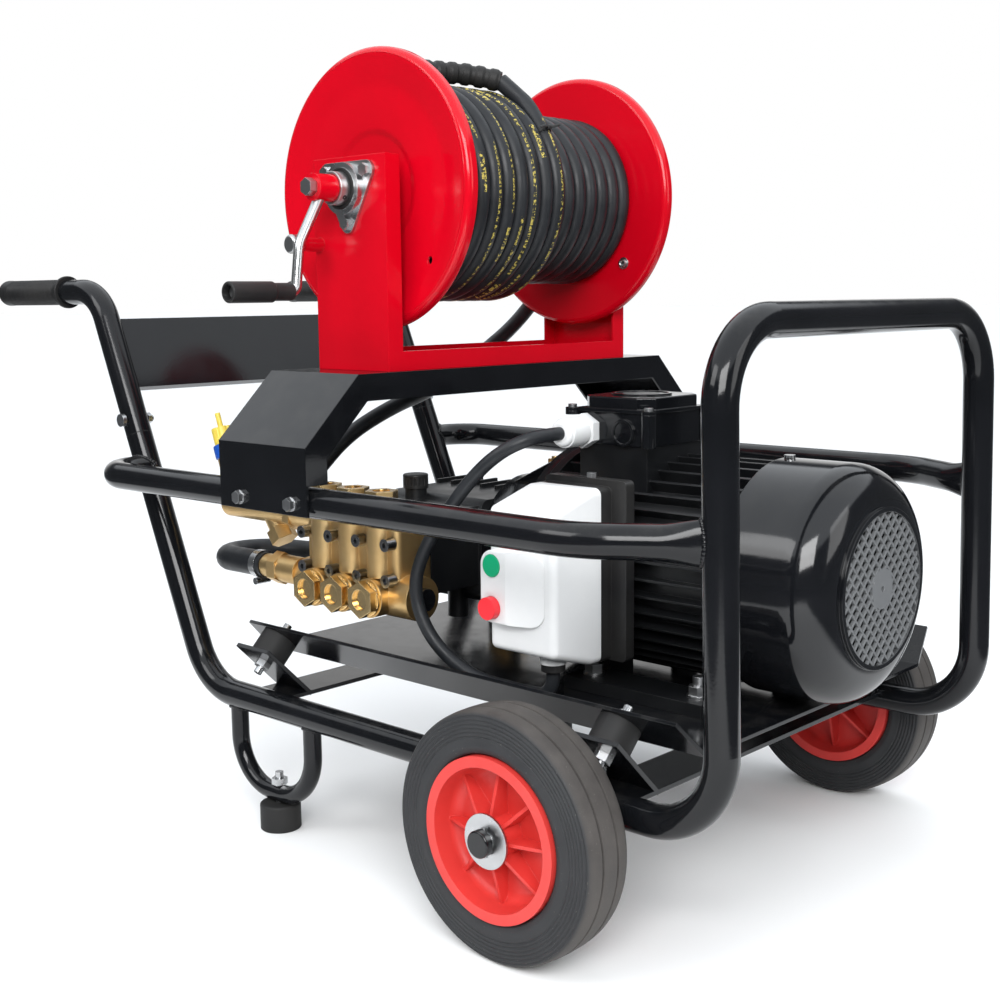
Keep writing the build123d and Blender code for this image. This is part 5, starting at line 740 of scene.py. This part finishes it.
# Reel bearings: black seal in each boss, and a steel sleeve with set screws on the near end of the shaft
bearing = dict(nearY=-204.5, farY=219.5, bossOut=13.0, sealR=(15.4, 23.2), sealOut=1.2, sleeveR=(15.3, 18.6),
               sleeveOut=27.0, screwR=2.6, screwAt=(205.0, 325.0))


def makeBearing(b, s, side):
    r0, r1 = b["sealR"]
    loop = [(0.1, r1), (b["sealOut"], r1), (b["sealOut"], r1 - 2), (0.5, r1 - 2.6), (0.5, r0 + 2),
            (b["sealOut"], r0 + 1.4), (b["sealOut"], r0), (0.1, r0), (0.1, r1)]
    face = np.array([reel["x"], b[side + "Y"] + s * b["bossOut"], reel["z"]])
    seal = lathePiece("bearingSeal" + side.title(),
                      roundedLine(loop, [0.5, 0.3, 0.3, 0.3, 0.3, 0.5, 0.1], 5)[:-1] * mm, face * mm,
                      (0, s, 0), finishes["rubber"], 72)
    fix(seal, "frame", "rubber")


for s, side in ((-1, "near"), (1, "far")):
    makeBearing(bearing, s, side)


def makeSleeve(b):
    r0, r1 = b["sleeveR"]
    out = b["sleeveOut"] - b["bossOut"]
    loop = [(0.8, r0), (0.8, r1), (out, r1), (out, r0), (0.8, r0)]
    face = np.array([reel["x"], b["nearY"] - b["bossOut"], reel["z"]])
    sleeve = lathePiece("shaftSleeve", roundedLine(loop, [0.4, 1.0, 0.5], 6)[:-1] * mm, face * mm,
                        (0, -1, 0), finishes["steel"], 72)
    fix(sleeve, "reel", "steel")
    for k, turn in enumerate(np.radians(b["screwAt"])):
        way = np.array([np.cos(turn), 0, np.sin(turn)])
        line = [(-1, 0.01), (-1, b["screwR"]), (0.9, b["screwR"]), (0.9, 1.3), (-0.4, 1.2), (-0.4, 0.01)]
        start = face + (0, -out / 2, 0) + way * r1
        screw = roundHead("sleeveScrew" + str(k), line, [0.1, 0.4, 0.2, 0.2], start, way,
                          finishes["black_casting"], 24)
        fix(screw, "reel", "zinc")


makeSleeve(bearing)


# Cable tie round the hose where its end leaves the turn: thin band, lock and two cut ends
tie = dict(at=(173.0, 18.1, 832.4), gap=0.15, thick=0.9, width=4.6, lock=(3.4, 2.6, 7.0), tail=17.0)


def makeTie(c):
    k = int(np.argmin(np.linalg.norm(hoseLine - np.array(c["at"]) * mm, axis=1)))
    centre, way = hoseLine[k] / mm, hoseLine[k + 1] - hoseLine[k - 1]
    way /= np.linalg.norm(way)
    r, h, w = reel["hoseR"] + c["gap"], c["thick"], c["width"] / 2
    loop = [(0, r), (w, r), (w, r + h), (-w, r + h), (-w, r), (0, r)]
    band = lathePiece("tieBand", roundedLine(loop, [0.2, 0.35, 0.35, 0.2], 4)[:-1] * mm, centre * mm, way,
                      gripFinish, 64)
    fix(band, "reel", "rubber", "cable_tie")
    outward = centre - np.array([reel["x"], centre[1], reel["z"]])
    outward -= way * (outward @ way)
    outward /= np.linalg.norm(outward)
    side = np.cross(way, outward)
    top = centre + outward * (r + h + 1.4)
    wide, tall, long = c["lock"]
    at = np.linspace(-1, 1, 24)[:, None]
    bulge = np.clip(1 - np.abs(at[:, 0]) ** 6, 0.02, 1) ** 0.5
    lock = sweepPiece("tieLock", (top + side * at * long / 2) * mm, way, wide * bulge * mm,
                      tall * bulge * mm, gripFinish, 24)
    fix(lock, "reel", "rubber")
    for k, s in enumerate((-1, 1)):
        u = np.linspace(0, 1, 20)[:, None]
        rise = 0.6 + 5.0 * u - 3.0 * u * u
        line = top + s * side * (2.5 + c["tail"] * u) + outward * rise + way * (s * 3.5 * u * u)
        tail = sweepPiece("tieTail" + str(k), line * mm, way, 1.7 * mm, 0.55 * mm, gripFinish, 12)
        fix(tail, "reel", "rubber")


makeTie(tie)
print("bearings and tie made")


# Tyres: nearly flat tread with two grooves, round shoulders, fine rings on the walls and a bulge by the rim
tyre = dict(r=127.0, width=61.9, beadR=83.0, grooveAt=10.8, grooveDeep=2.6, grooveWide=1.3, ringAt=99.0,
            rings=6, ringPitch=4.0, ringDeep=1.0, axleX=408.0, midY=12.5, wheelY=320.35)


def makeTyreRubber(t):  # grey rubber, browner and duller on the tread where it meets the ground
    material, tree, shader = newFinish("tyreRubber", Specular_IOR_Level=0.25)
    place = addNode(tree, "ShaderNodeTexCoord").outputs["Object"]
    spot = addNode(tree, "ShaderNodeSeparateXYZ", None, Vector=place)
    radius = farFrom(tree, spot.outputs["X"], t["axleX"] * mm, spot.outputs["Z"], t["r"] * mm)
    tread = ramp(tree, radius, 0.1220, 0.1258)
    patch = ramp(tree, noise(tree, place, 30.0, 5.0, 0.65), 0.3, 0.7)
    wall = blendColour(tree, patch, (0.025, 0.026, 0.028), (0.035, 0.036, 0.038))
    worn = blendColour(tree, patch, (0.055, 0.050, 0.047), (0.080, 0.073, 0.068))
    colour = blendColour(tree, tread, wall, worn)
    specks = ramp(tree, noise(tree, place, 420.0, 2.0), 0.70, 0.74)
    colour = blendColour(tree, mathNode(tree, "MULTIPLY", specks, 0.5), colour, (0.16, 0.15, 0.14))
    tree.links.new(colour, shader.inputs["Base Color"])
    tree.links.new(ramp(tree, patch, 0.0, 1.0, 0.55, 0.75), shader.inputs["Roughness"])
    bump = addNode(tree, "ShaderNodeBump", None, Strength=0.2, Distance=0.0008,
                   Height=noise(tree, place, 700.0, 4.0, 0.65))
    tree.links.new(bump.outputs[0], shader.inputs["Normal"])
    return material


tyreRubber = makeTyreRubber(tyre)


def makeTyre(t, s, side):
    w = t["width"] / 2
    half = [(0, t["r"]), (12, t["r"] - 0.3), (22, t["r"] - 1.2), (28.2, t["r"] - 3.1), (30.4, t["r"] - 8),
            (w, t["r"] - 17), (w - 1.0, t["beadR"] + 15), (w, t["beadR"] + 8), (w - 2.6, t["beadR"] + 1.0),
            (w - 9, t["beadR"])]
    outer = spread(roundedLine(half, [60, 30, 6, 10, 30, 24, 7, 4], 14), 330)
    way = np.gradient(outer, axis=0)
    way /= np.linalg.norm(way, axis=1)[:, None]
    normal = np.stack([-way[:, 1], way[:, 0]], axis=1)
    onTread = outer[:, 1] > t["r"] - 3
    groove = np.clip(1.4 - ((outer[:, 0] - t["grooveAt"]) / t["grooveWide"]) ** 2, 0, 1) * onTread
    rings = (0.5 - 0.5 * np.cos(2 * np.pi * (outer[:, 1] - t["ringAt"]) / t["ringPitch"])) ** 1.5
    inRings = (outer[:, 1] > t["ringAt"]) & (outer[:, 1] < t["ringAt"] + t["rings"] * t["ringPitch"])
    outer = outer - normal * (groove * t["grooveDeep"] + rings * inRings * t["ringDeep"])[:, None]
    loop = np.concatenate([outer, (outer * (-1, 1))[::-1][:-1]]) * mm
    centre = np.array([t["axleX"], t["midY"] + s * t["wheelY"], t["r"]]) * mm
    piece = lathePiece("tyre" + side.title(), loop, centre, (0, 1, 0), tyreRubber, 144)
    return fix(piece, "wheel_" + side, "tyre", "tyre_" + side)


for s, side in ((-1, "near"), (1, "far")):
    makeTyre(tyre, s, side)
print("tyres made")


# Middle rails: bent tubes whose front ends are pressed flat where they meet the hoop
midRail = dict(z=427.6, outY=329.0, sideY=260.0, turnX=500.0, tubeR=16.85, bend=50.0, sweep=120.0,
               rearX=-287.55, frontX=609.56, flatFrom=46.0, taller=1.28, thinner=0.55, rearIn=6.0,
               frontIn=10.0)


def makeMidRail(m, s, side):
    corners = [(m["rearX"], tyre["midY"] + s * (m["sideY"] + m["rearIn"]), m["z"]),
               (m["rearX"], tyre["midY"] + s * m["outY"], m["z"]),
               (m["turnX"], tyre["midY"] + s * m["outY"], m["z"]),
               (m["frontX"], tyre["midY"] + s * m["sideY"], m["z"])]
    path = roundedLine(corners, [m["bend"], m["sweep"]], 24)
    end = path[-1] - path[-2]
    path[-1] -= end / np.linalg.norm(end) * m["frontIn"]
    dense = spread(path, 260) * mm
    left = np.linalg.norm(dense - dense[-1], axis=1) / mm
    press = np.clip(1 - left / m["flatFrom"], 0, 1)
    press = press * press * (3 - 2 * press)
    wide = m["tubeR"] * (1 + (m["thinner"] - 1) * press) * mm
    tall = m["tubeR"] * (1 + (m["taller"] - 1) * press) * mm
    return sweepPiece("midRail" + side, dense, (0, 0, 1), tall, wide, finishes["black_paint"], sides=40)


for s, side, replaced in ((-1, "Near", ["mid_rails"]), (1, "Far", [])):
    fix(makeMidRail(midRail, s, side), "frame", "black_paint", *replaced)


# Weld beads: a rippled roll on the line where the end outline of one tube, moved along, meets the other
weld = dict(bead=2.3, ripple=3.2, railZ=154.05, hoopX=615.55, hoopLean=-0.0219, rearX=-169.65,
            rearLean=-0.431, loopR=11.0, loopX=(-108.0, 33.6))


def makeWeld(name, at, way, tall, wide, through, axis):
    at, way, axis = np.array(at, float), np.array(way, float), np.array(axis, float)
    way, axis = way / np.linalg.norm(way), axis / np.linalg.norm(axis)
    up = np.cross(way, (0, 1, 0) if abs(way[1]) < 0.6 else (1, 0, 0))
    up /= np.linalg.norm(up)
    turn = np.linspace(0, 2 * np.pi, 240, endpoint=False)[:, None]
    out = np.cos(turn) * tall * up + np.sin(turn) * wide * np.cross(way, up)
    start = at + out - np.array(through)
    start -= (start @ axis)[:, None] * axis
    move = way - (way @ axis) * axis
    a, b, c = move @ move, start @ move, (start ** 2).sum(axis=1) - midRail["tubeR"] ** 2
    run = (-b - np.sqrt(np.clip(b * b - a * c, 0, None))) / a
    line = at + out + run[:, None] * way
    length = np.linalg.norm(np.diff(line, axis=0), axis=1).sum()
    wave = np.abs(np.sin(np.pi * np.round(length / weld["ripple"]) * turn[:, 0] / (2 * np.pi)))
    thick = weld["bead"] * (0.80 + 0.22 * wave + 0.12 * np.sin(3 * turn[:, 0] + at[0])) * mm
    return fix(sweepPiece(name, line * mm, out, thick, thick, finishes["black_paint"], 14, wrapped=True),
               "frame", "black_paint")


def weldFrame(w, m, s, side):
    y = tyre["midY"] + s * m["sideY"]
    hoop, rear = (w["hoopX"], y, w["railZ"]), (w["rearX"], y, w["railZ"])
    run = np.array([m["frontX"] - m["turnX"], s * (m["sideY"] - m["outY"]), 0])
    makeWeld("weldHoop" + side, np.array([m["frontX"], y, m["z"]]) - run * 0.5, run, m["tubeR"] * 1.25,
             m["tubeR"] * 0.58, hoop, (w["hoopLean"], 0, 1))
    makeWeld("weldRear" + side, (m["rearX"], y + s * 50, m["z"]), (0, -s, 0), m["tubeR"], m["tubeR"], rear,
             (w["rearLean"], 0, 1))
    for k, x in enumerate(w["loopX"]):
        makeWeld("weldLoop" + side + str(k), (x, y, w["railZ"] - 50), (0, 0, 1), w["loopR"], w["loopR"],
                 hoop, (1, 0, 0))


for s, side in ((-1, "Near"), (1, "Far")):
    weldFrame(weld, midRail, s, side)
print("welds laid")


# Handle grips: fine rings along the hand, a wide flange and a rounded end
grip = dict(x=-463.45, endX=-630.6, r=18.0, flangeR=22.0, flangeT=5.0, z=657.5, ringPitch=3.4, ringDeep=0.8)


def makeGrip(g, s, side):
    length = g["x"] - g["endX"]
    outline = [(0.2, 16.9), (0.2, g["flangeR"]), (g["flangeT"], g["flangeR"]),
               (g["flangeT"] + 3, g["r"] - 0.6), (length - 18, g["r"] - 0.4), (length - 12, g["r"]),
               (length, g["r"]), (length, 0.01)]
    line = spread(roundedLine(outline, [1.6, 1.6, 2.4, 20, 6, 5.5], 10), 460)
    along = line[:, 0]
    ringed = (along > 16) & (along < length - 24)
    wave = np.clip(np.sin(2 * np.pi * along / g["ringPitch"]) * 1.6, -1, 1) * 0.5 + 0.5
    line[:, 1] -= wave * ringed * g["ringDeep"]
    centre = np.array([g["x"], tyre["midY"] + s * midRail["sideY"], g["z"]]) * mm
    return lathePiece("grip" + side, line * mm, centre, (-1, 0, 0), gripFinish, 56, closed=False)


for s, side, replaced in ((-1, "Near", ["grips"]), (1, "Far", [])):
    fix(makeGrip(grip, s, side), "frame", "rubber", *replaced)
print("rails and grips made")
